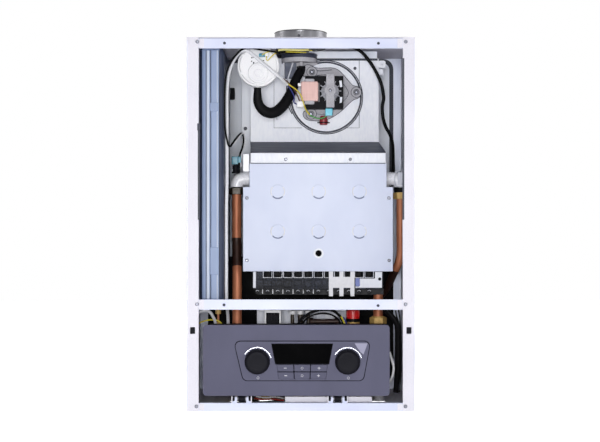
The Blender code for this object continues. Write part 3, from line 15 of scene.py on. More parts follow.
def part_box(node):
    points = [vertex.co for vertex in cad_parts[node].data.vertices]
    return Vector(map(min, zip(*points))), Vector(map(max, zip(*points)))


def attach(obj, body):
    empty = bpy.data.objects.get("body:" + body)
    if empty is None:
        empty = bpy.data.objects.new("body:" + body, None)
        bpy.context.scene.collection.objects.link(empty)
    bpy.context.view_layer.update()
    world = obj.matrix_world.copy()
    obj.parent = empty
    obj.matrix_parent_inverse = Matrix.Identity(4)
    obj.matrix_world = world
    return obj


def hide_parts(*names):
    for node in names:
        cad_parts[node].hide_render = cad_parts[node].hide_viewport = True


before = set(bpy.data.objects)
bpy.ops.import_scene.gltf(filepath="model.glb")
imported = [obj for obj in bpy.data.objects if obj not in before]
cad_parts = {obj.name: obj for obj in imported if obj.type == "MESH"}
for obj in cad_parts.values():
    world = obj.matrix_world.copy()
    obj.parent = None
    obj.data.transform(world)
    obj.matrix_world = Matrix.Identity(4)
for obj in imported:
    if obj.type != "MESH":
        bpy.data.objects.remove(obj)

bl_info = {
    "name": "Open Gas Boiler",
    "version": (1, 0, 0),
    "blender": (4, 5, 0),
    "location": "View3D > Sidebar > Boiler",
    "description": "Models and finishes an open wall-hung gas boiler with its burner assembly",
    "category": "Object",
}

MM = 0.001  # metres in a millimetre
CASE_DEPTH = 290.0
EYE_DISTANCE = 2170.0  # from the camera to the case's front plane
EYE_X, EYE_Z = -1.35, 5.65  # the camera's place across and up
IMAGE_CENTRE = (300.0, 221.0)
FRONT_PITCH = 1.795  # width of one picture point on the case's front plane
MERGE_WITHIN = 0.002  # points of a drawn piece closer than this are one
SOLID_MERGE_WITHIN = 0.005  # and points of a solid's copy
FLAT_WITHIN = math.radians(1)  # faces of a solid's copy that turn less are one
SMOOTH_WITHIN = math.radians(35)  # edges that turn less are shaded smooth
SENSOR_WIDTH = 36  # the camera's, in millimetres


# --- Places --------------------------------------------------------------------------------------


def place(x, depth, z):
    """A point in metres from a position in millimetres."""
    return Vector((x, depth - CASE_DEPTH, z)) * MM


def seen(across, down, depth):
    """The x and z of a spot of the picture on the plane at a depth."""
    pitch = FRONT_PITCH * (1 + depth / EYE_DISTANCE)
    return EYE_X + (across - IMAGE_CENTRE[0]) * pitch, EYE_Z + (IMAGE_CENTRE[1] - down) * pitch


def run(spots):
    """Route points (x, depth, z) from spots given as (across, down, depth)."""
    return [(seen(*spot)[0], spot[2], seen(*spot)[1]) for spot in spots]


def on_plane(depth, *spots):
    """Points (x, depth, z) of (across, down) spots of the picture on the plane at a depth."""
    return run([(*spot, depth) for spot in spots])


def window(first, last, depth):
    """The x and z ranges between two opposite corners of the picture, on the plane at a depth."""
    left, top = seen(*first, depth)
    right, bottom = seen(*last, depth)
    return (left, right), (bottom, top)


def around(centre, size):
    """The range of a size around a centre."""
    return centre - size / 2, centre + size / 2


# --- Modelling steps -----------------------------------------------------------------------------


def only(*pieces):
    """Selects just these pieces and makes the first one active."""
    bpy.ops.object.select_all(action="DESELECT")
    for piece in pieces:
        piece.select_set(True)
    bpy.context.view_layer.objects.active = pieces[0]


def settle():
    """Puts the active piece's place, turn and size into its mesh."""
    bpy.ops.object.transform_apply(location=True, rotation=True, scale=True)


@contextmanager
def editing(piece):
    """Edit mode with the whole mesh selected, and object mode again afterwards."""
    only(piece)
    bpy.ops.object.mode_set(mode="EDIT")
    bpy.ops.mesh.select_all(action="SELECT")
    yield
    bpy.ops.object.mode_set(mode="OBJECT")


def tidy(piece):
    """Merges a mesh's doubled points and turns its faces outwards."""
    with editing(piece):
        bpy.ops.mesh.remove_doubles(threshold=MERGE_WITHIN * MM)
        bpy.ops.mesh.normals_make_consistent(inside=False)
    return piece


def applied(piece, kind, **settings):
    """Adds a modifier with its settings and applies it."""
    only(piece)
    modifier = piece.modifiers.new(kind.lower(), kind)
    for key, value in settings.items():
        setattr(modifier, key, value)
    bpy.ops.object.modifier_apply(modifier=modifier.name)
    return piece


def soften(piece, width, segments=2, angle=30):
    """Rounds a piece's sharp edges."""
    return applied(
        piece, "BEVEL", width=width * MM, segments=segments, limit_method="ANGLE",
        angle_limit=math.radians(angle),
    )


def block(x, depth, z, edge=0.4, segments=2):
    """A block between two x values, two depths and two heights, with rounded edges."""
    low, high = place(x[0], depth[0], z[0]), place(x[1], depth[1], z[1])
    bpy.ops.object.select_all(action="DESELECT")
    bpy.ops.mesh.primitive_cube_add(size=1, location=(low + high) / 2, scale=high - low)
    settle()
    piece = bpy.context.object
    return soften(piece, edge, segments) if edge else piece


def drawn(points, closed=True):
    """A line drawn through points in metres, as a mesh of edges."""
    bpy.ops.object.select_all(action="DESELECT")
    bpy.ops.object.add(type="CURVE")
    line = bpy.context.object
    line.data.dimensions = "3D"
    spline = line.data.splines.new("POLY")
    spline.points.add(len(points) - 1)
    for target, point in zip(spline.points, points):
        target.co = (*point, 1)
    spline.use_cyclic_u = closed
    bpy.ops.object.convert(target="MESH")
    return bpy.context.object


def plate(outline, depths, edge=0.4, segments=2):
    """A flat plate: an outline of (x, z) points, filled and extruded through a depth."""
    piece = drawn([place(x, depths[0], z) for x, z in outline])
    thickness = (0, (depths[1] - depths[0]) * MM, 0)
    with editing(piece):
        bpy.ops.mesh.edge_face_add()
        bpy.ops.mesh.extrude_region_move(TRANSFORM_OT_translate={"value": thickness})
    tidy(piece)
    return soften(piece, edge, segments) if edge else piece


def turned(axis, centre, profile, steps=40):
    """A solid spun about an axis from its profile of (radius, position) points.

    The centre holds the two other coordinates in x, depth, z order.
    """
    first, second = centre
    whole = profile[0][0] == 0 and profile[-1][0] == 0
    spots = {
        "X": lambda radius, along: place(along, first, second + radius),
        "Y": lambda radius, along: place(first + radius, along, second),
        "Z": lambda radius, along: place(first + radius, second, along),
    }[axis]
    points = [spots(*point) for point in profile]
    middle, way = spots(0, 0), [float(axis == each) for each in "XYZ"]
    piece = drawn(points, closed=not whole)
    with editing(piece):
        bpy.ops.mesh.spin(steps=steps, angle=math.tau, center=middle, axis=way)
    return tidy(piece)


def barrel(axis, centre, span, radius, edge=0.6, steps=32):
    """A round bar with chamfered ends."""
    low, high = span
    profile = (
        (0, low), (radius - edge, low), (radius - edge * 0.3, low + edge * 0.3), (radius, low + edge),
        (radius, high - edge), (radius - edge * 0.3, high - edge * 0.3), (radius - edge, high),
        (0, high),
    )
    return turned(axis, centre, profile, steps)


def hexagon(centre, span, flats, edge=1.4):
    """A hexagon nut standing on its face, its corners turned down at both ends."""
    x, depth = centre
    bpy.ops.object.select_all(action="DESELECT")
    bpy.ops.mesh.primitive_cylinder_add(
        vertices=6, radius=flats / math.sqrt(3) * MM, depth=(span[1] - span[0]) * MM,
        location=place(x, depth, sum(span) / 2), rotation=(0, 0, math.radians(30)),
    )
    settle()
    piece = soften(bpy.context.object, 0.5, 2)
    limit = flats / 2
    low, high = span
    profile = (
        (0, low), (limit - edge * 0.2, low), (limit * 1.17, low + edge), (limit * 1.17, high - edge),
        (limit - edge * 0.2, high), (0, high),
    )
    return cut(piece, turned("Z", centre, profile), "INTERSECT")


def wire(route, radius, radii=None, sides=3, smooth=6):
    """A round wire or pipe along a smooth route of (x, depth, z) points, with filled ends."""
    bpy.ops.object.select_all(action="DESELECT")
    bpy.ops.object.add(type="CURVE")
    line = bpy.context.object
    line.data.dimensions = "3D"
    line.data.bevel_depth = radius * MM
    line.data.bevel_resolution = sides
    line.data.resolution_u = smooth
    line.data.use_fill_caps = True
    spline = line.data.splines.new("BEZIER")
    spline.bezier_points.add(len(route) - 1)
    for index, point in enumerate(route):
        knot = spline.bezier_points[index]
        knot.co = place(*point)
        knot.handle_left_type = knot.handle_right_type = "AUTO"
        knot.radius = radii[index] if radii else 1
    bpy.ops.object.convert(target="MESH")
    return tidy(bpy.context.object)


def joined(pieces):
    """Several pieces as one."""
    only(*pieces)
    if len(pieces) > 1:
        bpy.ops.object.join()
    return pieces[0]


def cut(piece, tool, operation="DIFFERENCE"):
    """Cuts a piece with a tool, joins it to it or keeps what they share."""
    applied(piece, "BOOLEAN", operation=operation, object=tool, solver="EXACT")
    bpy.data.objects.remove(tool)
    return piece


def copies(piece, moves):
    """A piece and its copies, each moved by (x, depth, z) from the first one's place, joined."""
    made = []
    for move in moves:
        only(piece)
        bpy.ops.object.duplicate()
        twin = bpy.context.object
        bpy.ops.transform.translate(value=Vector(move) * MM)
        settle()
        made.append(twin)
    bpy.data.objects.remove(piece)
    return joined(made)


def round_copies(piece, count, axis, spot):
    """A piece's copies, turned evenly about an axis through a spot (x, depth, z)."""
    centre = Matrix.Translation(place(*spot))
    made = []
    for index in range(count):
        twin = bpy.data.objects.new("rib", piece.data.copy())
        bpy.context.scene.collection.objects.link(twin)
        turn = Matrix.Rotation(math.tau * index / count, 4, axis)
        twin.matrix_world = centre @ turn @ centre.inverted()
        only(twin)
        settle()
        made.append(twin)
    bpy.data.objects.remove(piece)
    return made


def merged(node, edge=0.5, segments=2):
    """A copy of a solid of the frame, its points merged and its edges rounded."""
    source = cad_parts[node]
    twin = bpy.data.objects.new(node + "_shape", source.data.copy())
    twin.matrix_world = source.matrix_world.copy()
    bpy.context.scene.collection.objects.link(twin)
    only(twin)
    settle()
    with editing(twin):
        bpy.ops.mesh.remove_doubles(threshold=SOLID_MERGE_WITHIN * MM)
        bpy.ops.mesh.dissolve_limited(angle_limit=FLAT_WITHIN)
    return soften(twin, edge, segments, 40) if edge else twin


def fit(pieces, name, *finishes, body="casing", nodes=(), slot=None, choose=None):
    """Names a finished piece, or several as one, gives it its finishes and puts it on its body."""
    piece = joined(pieces) if isinstance(pieces, list) else pieces
    only(piece)
    settle()
    piece.name = name
    piece.data.name = name
    piece.data.materials.clear()
    for finish in finishes:
        piece.data.materials.append(material(finish))
    for face in piece.data.polygons:
        face.material_index = choose(face) if choose else 0
    bpy.ops.object.shade_smooth_by_angle(angle=SMOOTH_WITHIN)
    applied(piece, "WEIGHTED_NORMAL", keep_sharp=True)
    if nodes:
        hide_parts(*nodes)
    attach(piece, body)
    return piece


def dress(finish, *nodes):
    """Gives solids of the frame a finish."""
    for node in nodes:
        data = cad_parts[node].data
        if not data.materials:
            data.materials.append(None)
        for index in range(len(data.materials)):
            data.materials[index] = material(finish)


# --- Finishes ------------------------------------------------------------------------------------


def linear(colour):
    """Linear light from an sRGB hex value."""
    shares = [int(colour[index : index + 2], 16) / 255 for index in (0, 2, 4)]
    return [c / 12.92 if c <= 0.04045 else ((c + 0.055) / 1.055) ** 2.4 for c in shares]


def add(tree, kind, links=None, **settings):
    """Adds a shader node; settings are its properties or inputs, and links name its sources."""
    node = tree.nodes.new("ShaderNode" + kind)
    for key, value in settings.items():
        if hasattr(node, key):
            setattr(node, key, value)
        else:
            node.inputs[key.replace("_", " ")].default_value = value
    for key, source in (links or {}).items():
        tree.links.new(source, node.inputs[key])
    return node


# Each finish: colour, shade (its darker or stained colour), roughness, grain (millimetres across),
# share (how much of the shade shows), bump (depth in millimetres), then what differs from a plain
# finish: metallic, stretch (how many times longer the grain is along x, y, z) and specular.
Finish = namedtuple(
    "Finish", "colour shade roughness grain share bump metallic stretch specular",
    defaults=(0, (1, 1, 1), 0.5),
)

FINISHES = {
    # Powder coat on sheet steel: even, satin, with a fine orange peel.
    "powder_coat": Finish("E2E0EA", "DAD8E3", 0.45, 2.5, 0.3, 0.03, specular=0.3),
    # Galvanised sheet, bright-rolled: soft cloudy streaks along the rolling direction.
    "galvanised_sheet": Finish("D4D8E6", "B4BACF", 0.4, 9, 0.5, 0.03, metallic=0.3, stretch=(1, 1, 7)),
    # Galvanised strip for the rails, rolled along its length.
    "galvanised_rail": Finish(
        "D6DAEE", "BFC5E0", 0.45, 60, 0.5, 0.02, metallic=0.05, stretch=(6, 1, 1), specular=0.3
    ),
    # White coated heat shield behind the chamber: smooth with soft blue shading.
    "shield_coat": Finish("F0F3FA", "D6DDEC", 0.45, 26, 0.5, 0.02, stretch=(1, 1, 9), specular=0.3),
    # Aluminised steel of the chamber cover: pale blue, faintly grained.
    "aluminised_cover": Finish("D6DCEF", "C9D0E6", 0.5, 60, 0.5, 0.01, stretch=(1, 1, 2), specular=0.2),
    # Aluminised steel of the hood's fan plate: nearly white.
    "aluminised_plate": Finish("EEF0F7", "E2E5F0", 0.5, 5, 0.35, 0.02, stretch=(1, 1, 3), specular=0.3),
    # The hood's slope: the same steel painted blue black, a painted reflection of the dark it faces;
    # heat-stained blue black on the outlet's sleeve and cheek.
    "stain_and_painted_reflection_steel": Finish("3E4355", "2E3343", 0.5, 8, 0.55, 0.04, metallic=0.2, stretch=(7, 1, 1)),
    # Stainless of the burner tray, blackened by flame, with dark blue specks left in it.
    "burner_steel": Finish("0B0C12", "232838", 0.5, 2.6, 0.2, 0.1, metallic=0.1, specular=0.2),
    # Stainless of the flame blades, tinted by heat.
    "blade_steel": Finish("0C0C10", "16161B", 0.5, 5, 0.5, 0.05, stretch=(1, 5, 1), specular=0.08),
    # Dark phosphated steel of the gas bar.
    "phosphated_steel": Finish("131419", "0A0A0D", 0.5, 3, 0.5, 0.08, metallic=0.1, specular=0.2),
    # Die-cast aluminium, as cast: matt with a fine pebble.
    "die_cast_aluminium": Finish("B4B3B9", "9A99A1", 0.6, 1.8, 0.4, 0.06, specular=0.15),
    # Machined aluminium of the rims and strips: bright; on the burner's nozzles the same colour is a
    # painted highlight.
    "machined_aluminium_and_painted_highlight": Finish(
        "DADBE3", "BDC0CC", 0.5, 3, 0.3, 0.02, metallic=0.1, stretch=(1, 1, 5), specular=0.3
    ),
    # White nylon of the water elbows, glossy.
    "white_nylon": Finish("F2F2F7", "E4E5EE", 0.28, 3, 0.3, 0.02),
    # Bare turned aluminium of the fan's cooling wheel, dull.
    "dull_aluminium": Finish("84858C", "66676F", 0.5, 1.8, 0.4, 0.06, metallic=0.4),
    # Polished stainless of the flue pipe, with painted reflections: dark and light bands down it.
    "painted_reflection_chrome": Finish("A4A4AA", "08080A", 0.3, 24, 0.55, 0, metallic=0.3, stretch=(1, 90, 90)),
    # Zinc-plated screw heads.
    "zinc_screw": Finish("83858F", "55575F", 0.35, 1, 0.4, 0.02, metallic=0.8),
    # Blackened screw heads.
    "black_screw": Finish("45464E", "26272C", 0.4, 1, 0.4, 0.02, metallic=0.5),
    # Varnished iron core: black, with a fine grain for the edges of its thin laminations.
    "core_lamination": Finish("141417", "1C1C20", 0.6, 1.2, 0.4, 0.05, specular=0.08),
    # Crepe tape round the winding, each wrap about 4 mm wide.
    "winding_tape": Finish("E2BEB8", "D3ABA6", 0.6, 4, 0.45, 0.2, stretch=(1, 8, 8)),
    # Drawn copper tube: warm and bright, drawn along its length, with brown tarnish.
    "copper_tube": Finish(
        "BE7C5C", "8C4E34", 0.5, 10, 0.4, 0.02, metallic=0.3, stretch=(1, 1, 6), specular=0.3
    ),
    # Soldered copper of the heat exchanger, dulled by heat.
    "exchanger_copper": Finish("8A5038", "5A2E20", 0.38, 8, 0.5, 0.05, metallic=0.8, stretch=(1, 4, 1)),
    # Copper painted black: tarnish and flux on the flow pipe, painted shade on the return pipe's lower
    # bend; the bypass is dark all over.
    "tarnish_and_painted_shade_copper": Finish("3A2018", "120B09", 0.45, 8, 0.5, 0.03, metallic=0.4, stretch=(1, 1, 2)),
    # Forged brass, with flat machined faces.
    "turned_brass": Finish("C2A264", "9E7E44", 0.5, 4, 0.35, 0.03, metallic=0.2, specular=0.3),
    # Old brass of the left nut, browned by heat.
    "browned_brass": Finish("30261A", "18120C", 0.42, 4, 0.5, 0.03, metallic=0.3),
    # Grey-blue enamel of the expansion vessel: smooth, with long soft reflections.
    "vessel_enamel": Finish("93A3C2", "8292B4", 0.42, 30, 0.4, 0.01, stretch=(1, 1, 10), specular=0.3),
    # The same enamel painted pale along the vessel's ridges: painted highlights.
    "painted_highlight_enamel": Finish("D3DAE8", "BCC7DA", 0.42, 30, 0.4, 0.01, stretch=(1, 1, 10), specular=0.3),
    # White polyamide of the air pressure switch.
    "white_polyamide": Finish("ECECEE", "DEDEE2", 0.42, 1.2, 0.3, 0.04),
    # Glazed ceramic and white plastic of the electrode bracket; on the cover's rings the same white is a
    # painted highlight.
    "white_ceramic_and_painted_highlight": Finish("E9E9EE", "E0E0E6", 0.5, 6, 0.3, 0, specular=0.15),
    # EPDM hose: deep black and satin.
    "epdm_rubber": Finish("09090B", "111114", 0.5, 1.6, 0.4, 0.05, specular=0.08),
    # PVC cable sheath.
    "pvc_sheath": Finish("070709", "0E0E11", 0.5, 2, 0.4, 0.03, specular=0.08),
    # Braided glass sleeve over the fan's wires.
    "glass_sleeve": Finish("E6E6EA", "BFC1CB", 0.55, 1.4, 0.55, 0.12, stretch=(1, 1, 2)),
    # ABS of the fascia: painted grey violet, satin.
    "fascia_abs": Finish("5F5F74", "58586C", 0.5, 40, 0.5, 0.02, stretch=(1, 1, 3), specular=0.08),
    # The bezel, the same ABS a shade lighter.
    "bezel_abs": Finish("616176", "5A5A6E", 0.5, 40, 0.5, 0.02, stretch=(1, 1, 3), specular=0.08),
    # Black ABS of knobs and the box; round the bezel the same black is a painted shadow.
    "black_abs_and_shadow": Finish("0E0E15", "14141C", 0.5, 0.9, 0.4, 0.05, specular=0.08),
    # Rubber keys, grey violet.
    "key_rubber": Finish("5C5C70", "565669", 0.5, 0.8, 0.35, 0.04, specular=0.08),
    # Red polypropylene.
    "red_polypropylene": Finish("C41616", "A81010", 0.32, 1.5, 0.3, 0.03),
    # Dark red moulding of the overheat thermostat.
    "red_bakelite": Finish("8E1C26", "74141E", 0.4, 1.5, 0.3, 0.03),
    # Shadowed side of the cover's pressed rings.
    "shaded_steel": Finish("868DA6", "7A829C", 0.5, 3, 0.3, 0.01, specular=0.2),
    # Display cover: black acrylic, polished.
    "black_acrylic": Finish("010102", "020203", 0.4, 40, 0.3, 0, specular=0.01),
    # Chromed trim of the knobs' scales.
    "satin_chrome": Finish("D5D7E0", "B4B7C4", 0.22, 2, 0.3, 0.01, metallic=0.9),
    # Single wires: PVC insulation in plain colours.
    "blue_wire": Finish("1E2A80", "182260", 0.4, 3, 0.3, 0.02),
    "yellow_wire": Finish("D9C93A", "B9A92C", 0.4, 3, 0.3, 0.02),
    "green_wire": Finish("4E9A4A", "3C7A3A", 0.4, 3, 0.3, 0.02),
    "black_wire": Finish("070709", "0F0F12", 0.5, 3, 0.3, 0.02, specular=0.08),
    "brown_wire": Finish("5A3A2C", "452C22", 0.4, 3, 0.3, 0.02),
    "red_wire": Finish("B02020", "8C1818", 0.4, 3, 0.3, 0.02),
    "white_wire": Finish("E8E8EC", "CFCFD6", 0.4, 3, 0.3, 0.02),
    # Teal nylon connector on the flow sensor.
    "teal_nylon": Finish("2A8CA4", "1E6E84", 0.35, 1.5, 0.3, 0.04),
    # Light blue sleeve of the earth connector.
    "blue_vinyl": Finish("5CC4DC", "48A8C2", 0.35, 2, 0.3, 0.03),
    # The vessel's enamel on its rounded flanks, painted dark: painted shade on the sides that turn from
    # the light.
    "painted_shade_enamel": Finish("39435C", "20263A", 0.35, 30, 0.4, 0.01, metallic=0.1, stretch=(1, 1, 10)),
    # Dark sheet over the lower back: painted shade.
    "painted_shade_steel": Finish("0C0D11", "070709", 0.6, 30, 0.4, 0.02, stretch=(1, 1, 2), specular=0.08),
    # Heat-blued steel.
    "blued_steel": Finish("46507E", "39416A", 0.4, 3, 0.4, 0.02, metallic=0.4, stretch=(1, 1, 3)),
    # A paler patch on the bezel's corner.
    "pale_abs": Finish("8D8CA6", "85849D", 0.42, 0.9, 0.35, 0.02),
    # Yellow insulation, faded by heat.
    "faded_yellow": Finish("E2DA8E", "CFC26A", 0.45, 3, 0.3, 0.02),
    # Dark grey: the back shield's silicone seal, the switch's printed marks, and painted shadow lines in
    # gaps, grooves, creases, holes and round pressed plates.
    "seal_print_and_painted_shadow": Finish("2C3040", "20232E", 0.6, 2, 0.4, 0.04),
    # Pale printed marks.
    "pale_print": Finish("D8D8E0", "C8C8D2", 0.5, 1, 0.2, 0),
}


def material(name):
    """The named finish, made once: two colours mixed by its grain, with its roughness and bump."""
    known = bpy.data.materials.get(name)
    if known:
        return known
    finish = FINISHES[name]
    chosen = getattr(bpy.context.scene.boiler_colours, name, None) or linear(finish.colour)
    made = bpy.data.materials.new(name)
    made.use_nodes = True
    tree = made.node_tree
    shader = tree.nodes["Principled BSDF"]
    shader.inputs["Metallic"].default_value = finish.metallic
    shader.inputs["Specular IOR Level"].default_value = finish.specular
    spot = add(tree, "TexCoord").outputs["Object"]
    scale = [1 / (finish.grain * MM * along) for along in finish.stretch]
    turn = add(tree, "Mapping", {"Vector": spot}, Scale=scale).outputs["Vector"]
    grain_map = add(tree, "TexNoise", {"Vector": turn}, Scale=1.0, Detail=3.0).outputs["Fac"]
    drift = add(tree, "TexNoise", {"Vector": spot}, Scale=1 / 0.07, Detail=1.0).outputs["Fac"]
    both = add(tree, "Mix", {"A": grain_map, "B": drift}, data_type="FLOAT", Factor=0.4).outputs["Result"]
    ramp = add(tree, "ValToRGB", {"Fac": both})
    ramp.color_ramp.elements[0].position = 0.5 - finish.share * 0.5
    ramp.color_ramp.elements[0].color = (*linear(finish.shade), 1)
    ramp.color_ramp.elements[1].position = 0.5 + finish.share * 0.25
    ramp.color_ramp.elements[1].color = (*chosen, 1)
    tree.links.new(ramp.outputs["Color"], shader.inputs["Base Color"])
    gloss = add(
        tree, "MapRange", {"Value": grain_map}, From_Min=0.3, From_Max=0.7,
        To_Min=finish.roughness * 0.85, To_Max=finish.roughness * 1.2,
    )
    tree.links.new(gloss.outputs["Result"], shader.inputs["Roughness"])
    if finish.bump:
        relief = add(tree, "Bump", {"Height": grain_map}, Strength=0.5, Distance=finish.bump * MM)
        tree.links.new(relief.outputs["Normal"], shader.inputs["Normal"])
    return made


# --- Settings ------------------------------------------------------------------------------------


def length(name, description, default):
    """A length setting in millimetres."""
    return bpy.props.FloatProperty(name=name, description=description, default=default, min=0.0)


def power(name, description, default):
    """A lamp's power setting."""
    return bpy.props.FloatProperty(name=name, description=description, default=default, unit="POWER")


class BoilerStageSettings(bpy.types.PropertyGroup):
    """Light and floor of the stage."""

    key_power: power("Key light", "Power of the large soft light", 38.0)
    fill_power: power("Fill light", "Power of the light from the right", 6.0)
    top_power: power("Top light", "Power of the light above", 3.0)
    side_power: power("Outer lights", "Power of each light on the case's outer faces", 18.0)
    ambient: bpy.props.FloatProperty(
        name="Room light", description="Strength of the light from all round", default=0.16
    )
    floor_z: length("Floor height", "Height of the floor, in millimetres", -620.0)


class BoilerDetailSettings(bpy.types.PropertyGroup):
    """Sizes of small details, in millimetres."""

    screw_radius: length("Screw head radius", "Radius of the sheet-metal screws' heads", 3.4)
    ring_radius: length("Cover ring radius", "Radius of the rings pressed into the cover", 12.6)
    knob_radius: length("Knob radius", "Radius of the two control knobs", 22.0)


def colour(name, description, finish):
    """A colour setting that starts as a finish's colour."""
    start = linear(FINISHES[finish].colour)
    return bpy.props.FloatVectorProperty(
        name=name, description=description, default=start, subtype="COLOR", min=0.0, max=1.0,
    )


class BoilerColourSettings(bpy.types.PropertyGroup):
    """Colours of the main finishes."""

    powder_coat: colour("Case", "Colour of the case's powder coat", "powder_coat")
    galvanised_rail: colour("Rails", "Colour of the three front rails", "galvanised_rail")
    aluminised_cover: colour("Chamber cover", "Colour of the chamber's cover", "aluminised_cover")
    vessel_enamel: colour("Vessel", "Colour of the expansion vessel", "vessel_enamel")
    copper_tube: colour("Copper", "Colour of the bright copper pipes", "copper_tube")
    fascia_abs: colour("Fascia", "Colour of the control panel's front", "fascia_abs")
    black_abs_and_shadow: colour("Knobs", "Colour of the knobs and the black mouldings", "black_abs_and_shadow")


# --- Stage ---------------------------------------------------------------------------------------


def lamp(name, spot, aim, width, power):
    """A soft square lamp at a spot in metres, aimed at another."""
    turn = (Vector(aim) - Vector(spot)).to_track_quat("-Z", "Y").to_euler()
    bpy.ops.object.light_add(type="AREA", location=spot, rotation=turn)
    light = bpy.context.object
    light.name = name
    light.data.size = width
    light.data.energy = power


def background_rays(tree):
    """A value of 1 on the rays that see the background: from the camera, by gloss or through glass."""
    rays = add(tree, "LightPath").outputs
    seen_by = rays["Is Camera Ray"]
    for other in ("Is Glossy Ray", "Is Transmission Ray"):
        links = {0: seen_by, 1: rays[other]}
        seen_by = add(tree, "Math", links, operation="MAXIMUM").outputs["Value"]
    return seen_by


def white_world(strength):
    """A plain white world: full white where it is seen, gentler where it only lights."""
    world = bpy.data.worlds.new("white_room")
    bpy.context.scene.world = world
    world.use_nodes = True
    tree = world.node_tree
    sky = tree.nodes["Background"]
    sky.inputs["Color"].default_value = (1, 1, 1, 1)
    level = add(tree, "MapRange", {"Value": background_rays(tree)}, To_Min=strength, To_Max=1.0)
    tree.links.new(level.outputs["Result"], sky.inputs["Strength"])


def pale_floor(height):
    """A large pale floor that keeps the shadow and looks white to the camera."""
    bpy.ops.object.select_all(action="DESELECT")
    bpy.ops.mesh.primitive_plane_add(size=14, location=(0, 0, height * MM))
    floor = bpy.context.object
    floor.name = "stage_floor"
    bpy.ops.object.mode_set(mode="EDIT")
    bpy.ops.mesh.subdivide(number_cuts=3)
    bpy.ops.object.mode_set(mode="OBJECT")
    settle()
    matt = bpy.data.materials.new("floor_paint")
    matt.use_nodes = True
    tree = matt.node_tree
    shader = tree.nodes["Principled BSDF"]
    shader.inputs["Base Color"].default_value = (0.86, 0.86, 0.87, 1)
    shader.inputs["Roughness"].default_value = 0.9
    shader.inputs["Emission Color"].default_value = (1, 1, 1, 1)
    glow = add(tree, "MapRange", {"Value": background_rays(tree)}, To_Min=0.0, To_Max=0.84)
    tree.links.new(glow.outputs["Result"], shader.inputs["Emission Strength"])
    floor.data.materials.append(matt)


class OBJECT_OT_boiler_stage(bpy.types.Operator):
    """Set up the floor, the soft lamps, the white room and the camera"""

    bl_idname = "object.boiler_stage"
    bl_label = "Stage"

    def execute(self, context):
        settings = context.scene.boiler_stage
        context.scene.view_settings.view_transform = "Standard"
        white_world(settings.ambient)
        pale_floor(settings.floor_z)
        lamp("key_lamp", (-0.1, -2.75, 0.03), (0, 0, 0), 0.6, settings.key_power)
        for name, spot in (
            ("left_lamp", (-2.4, 0.0, 0.3)),
            ("right_lamp", (2.4, 0.0, 0.3)),
            ("rear_lamp", (0, 2.4, 0.3)),
            ("upper_lamp", (0, 0.0, 2.6)),
        ):
            lamp(name, spot, (0, -0.1, 0), 0.8, settings.side_power)
        lamp("fill_lamp", (1.7, -2.1, 0.3), (0, -0.2, 0), 1.4, settings.fill_power)
        lamp("top_lamp", (0.0, -1.2, 2.0), (0, -0.15, 0), 1.2, settings.top_power)
        bpy.ops.object.camera_add(
            location=(EYE_X * MM, -(EYE_DISTANCE + CASE_DEPTH) * MM, EYE_Z * MM),
            rotation=(math.radians(90), 0, 0),
        )
        camera = context.object
        camera.name = "camera"
        camera.data.sensor_width = SENSOR_WIDTH
        camera.data.lens = SENSOR_WIDTH * EYE_DISTANCE / (2 * IMAGE_CENTRE[0] * FRONT_PITCH)
        context.scene.camera = camera
        return {"FINISHED"}


# --- Case ----------------------------------------------------------------------------------------


def screws(name, spots, radius, finish):
    """Pan-head screws with cross recesses, facing the front, seated at (x, depth, z) spots."""
    height = radius * 0.65
    profile = (
        (0, -height), (radius * 0.55, -height), (radius * 0.85, -height * 0.75),
        (radius, -height * 0.3), (radius, 0), (0, 0),
    )
    head = turned("Y", (0, 0), profile, 20)
    long, thin = (-radius * 0.6, radius * 0.6), (-radius * 0.14, radius * 0.14)
    recess = (-height * 2, -height * 0.4)
    for across, up in ((long, thin), (thin, long)):
        head = cut(head, block(across, recess, up, 0))
    return fit(copies(head, spots), name, finish)


def frame_ring(outer, inner, depths, edge=0.3):
    """A flat frame: an outline with another outline cut out of it."""
    return soften(cut(plate(outer, depths, 0), plate(inner, (depths[0] - 2, depths[1] + 2), 0)), edge)


def rectangle(x, z, radius=0, steps=5):
    """Corners of a rectangle between two x and two z values, rounded where a radius is given."""
    if not radius:
        return [(x[0], z[0]), (x[1], z[0]), (x[1], z[1]), (x[0], z[1])]
    points = []
    for centre_x, centre_z, start in (
        (x[1] - radius, z[0] + radius, -90), (x[1] - radius, z[1] - radius, 0),
        (x[0] + radius, z[1] - radius, 90), (x[0] + radius, z[0] + radius, 180),
    ):
        for step in range(steps + 1):
            angle = math.radians(start + 90 * step / steps)
            points.append((centre_x + radius * math.cos(angle), centre_z + radius * math.sin(angle)))
    return points


def circle(centre, radius, steps=48, start=0, sweep=360):
    """Points round a circle or arc, as (x, z)."""
    count = steps if sweep == 360 else steps + 1
    angles = [math.radians(start + sweep * step / steps) for step in range(count)]
    return [(centre[0] + radius * math.cos(a), centre[1] + radius * math.sin(a)) for a in angles]


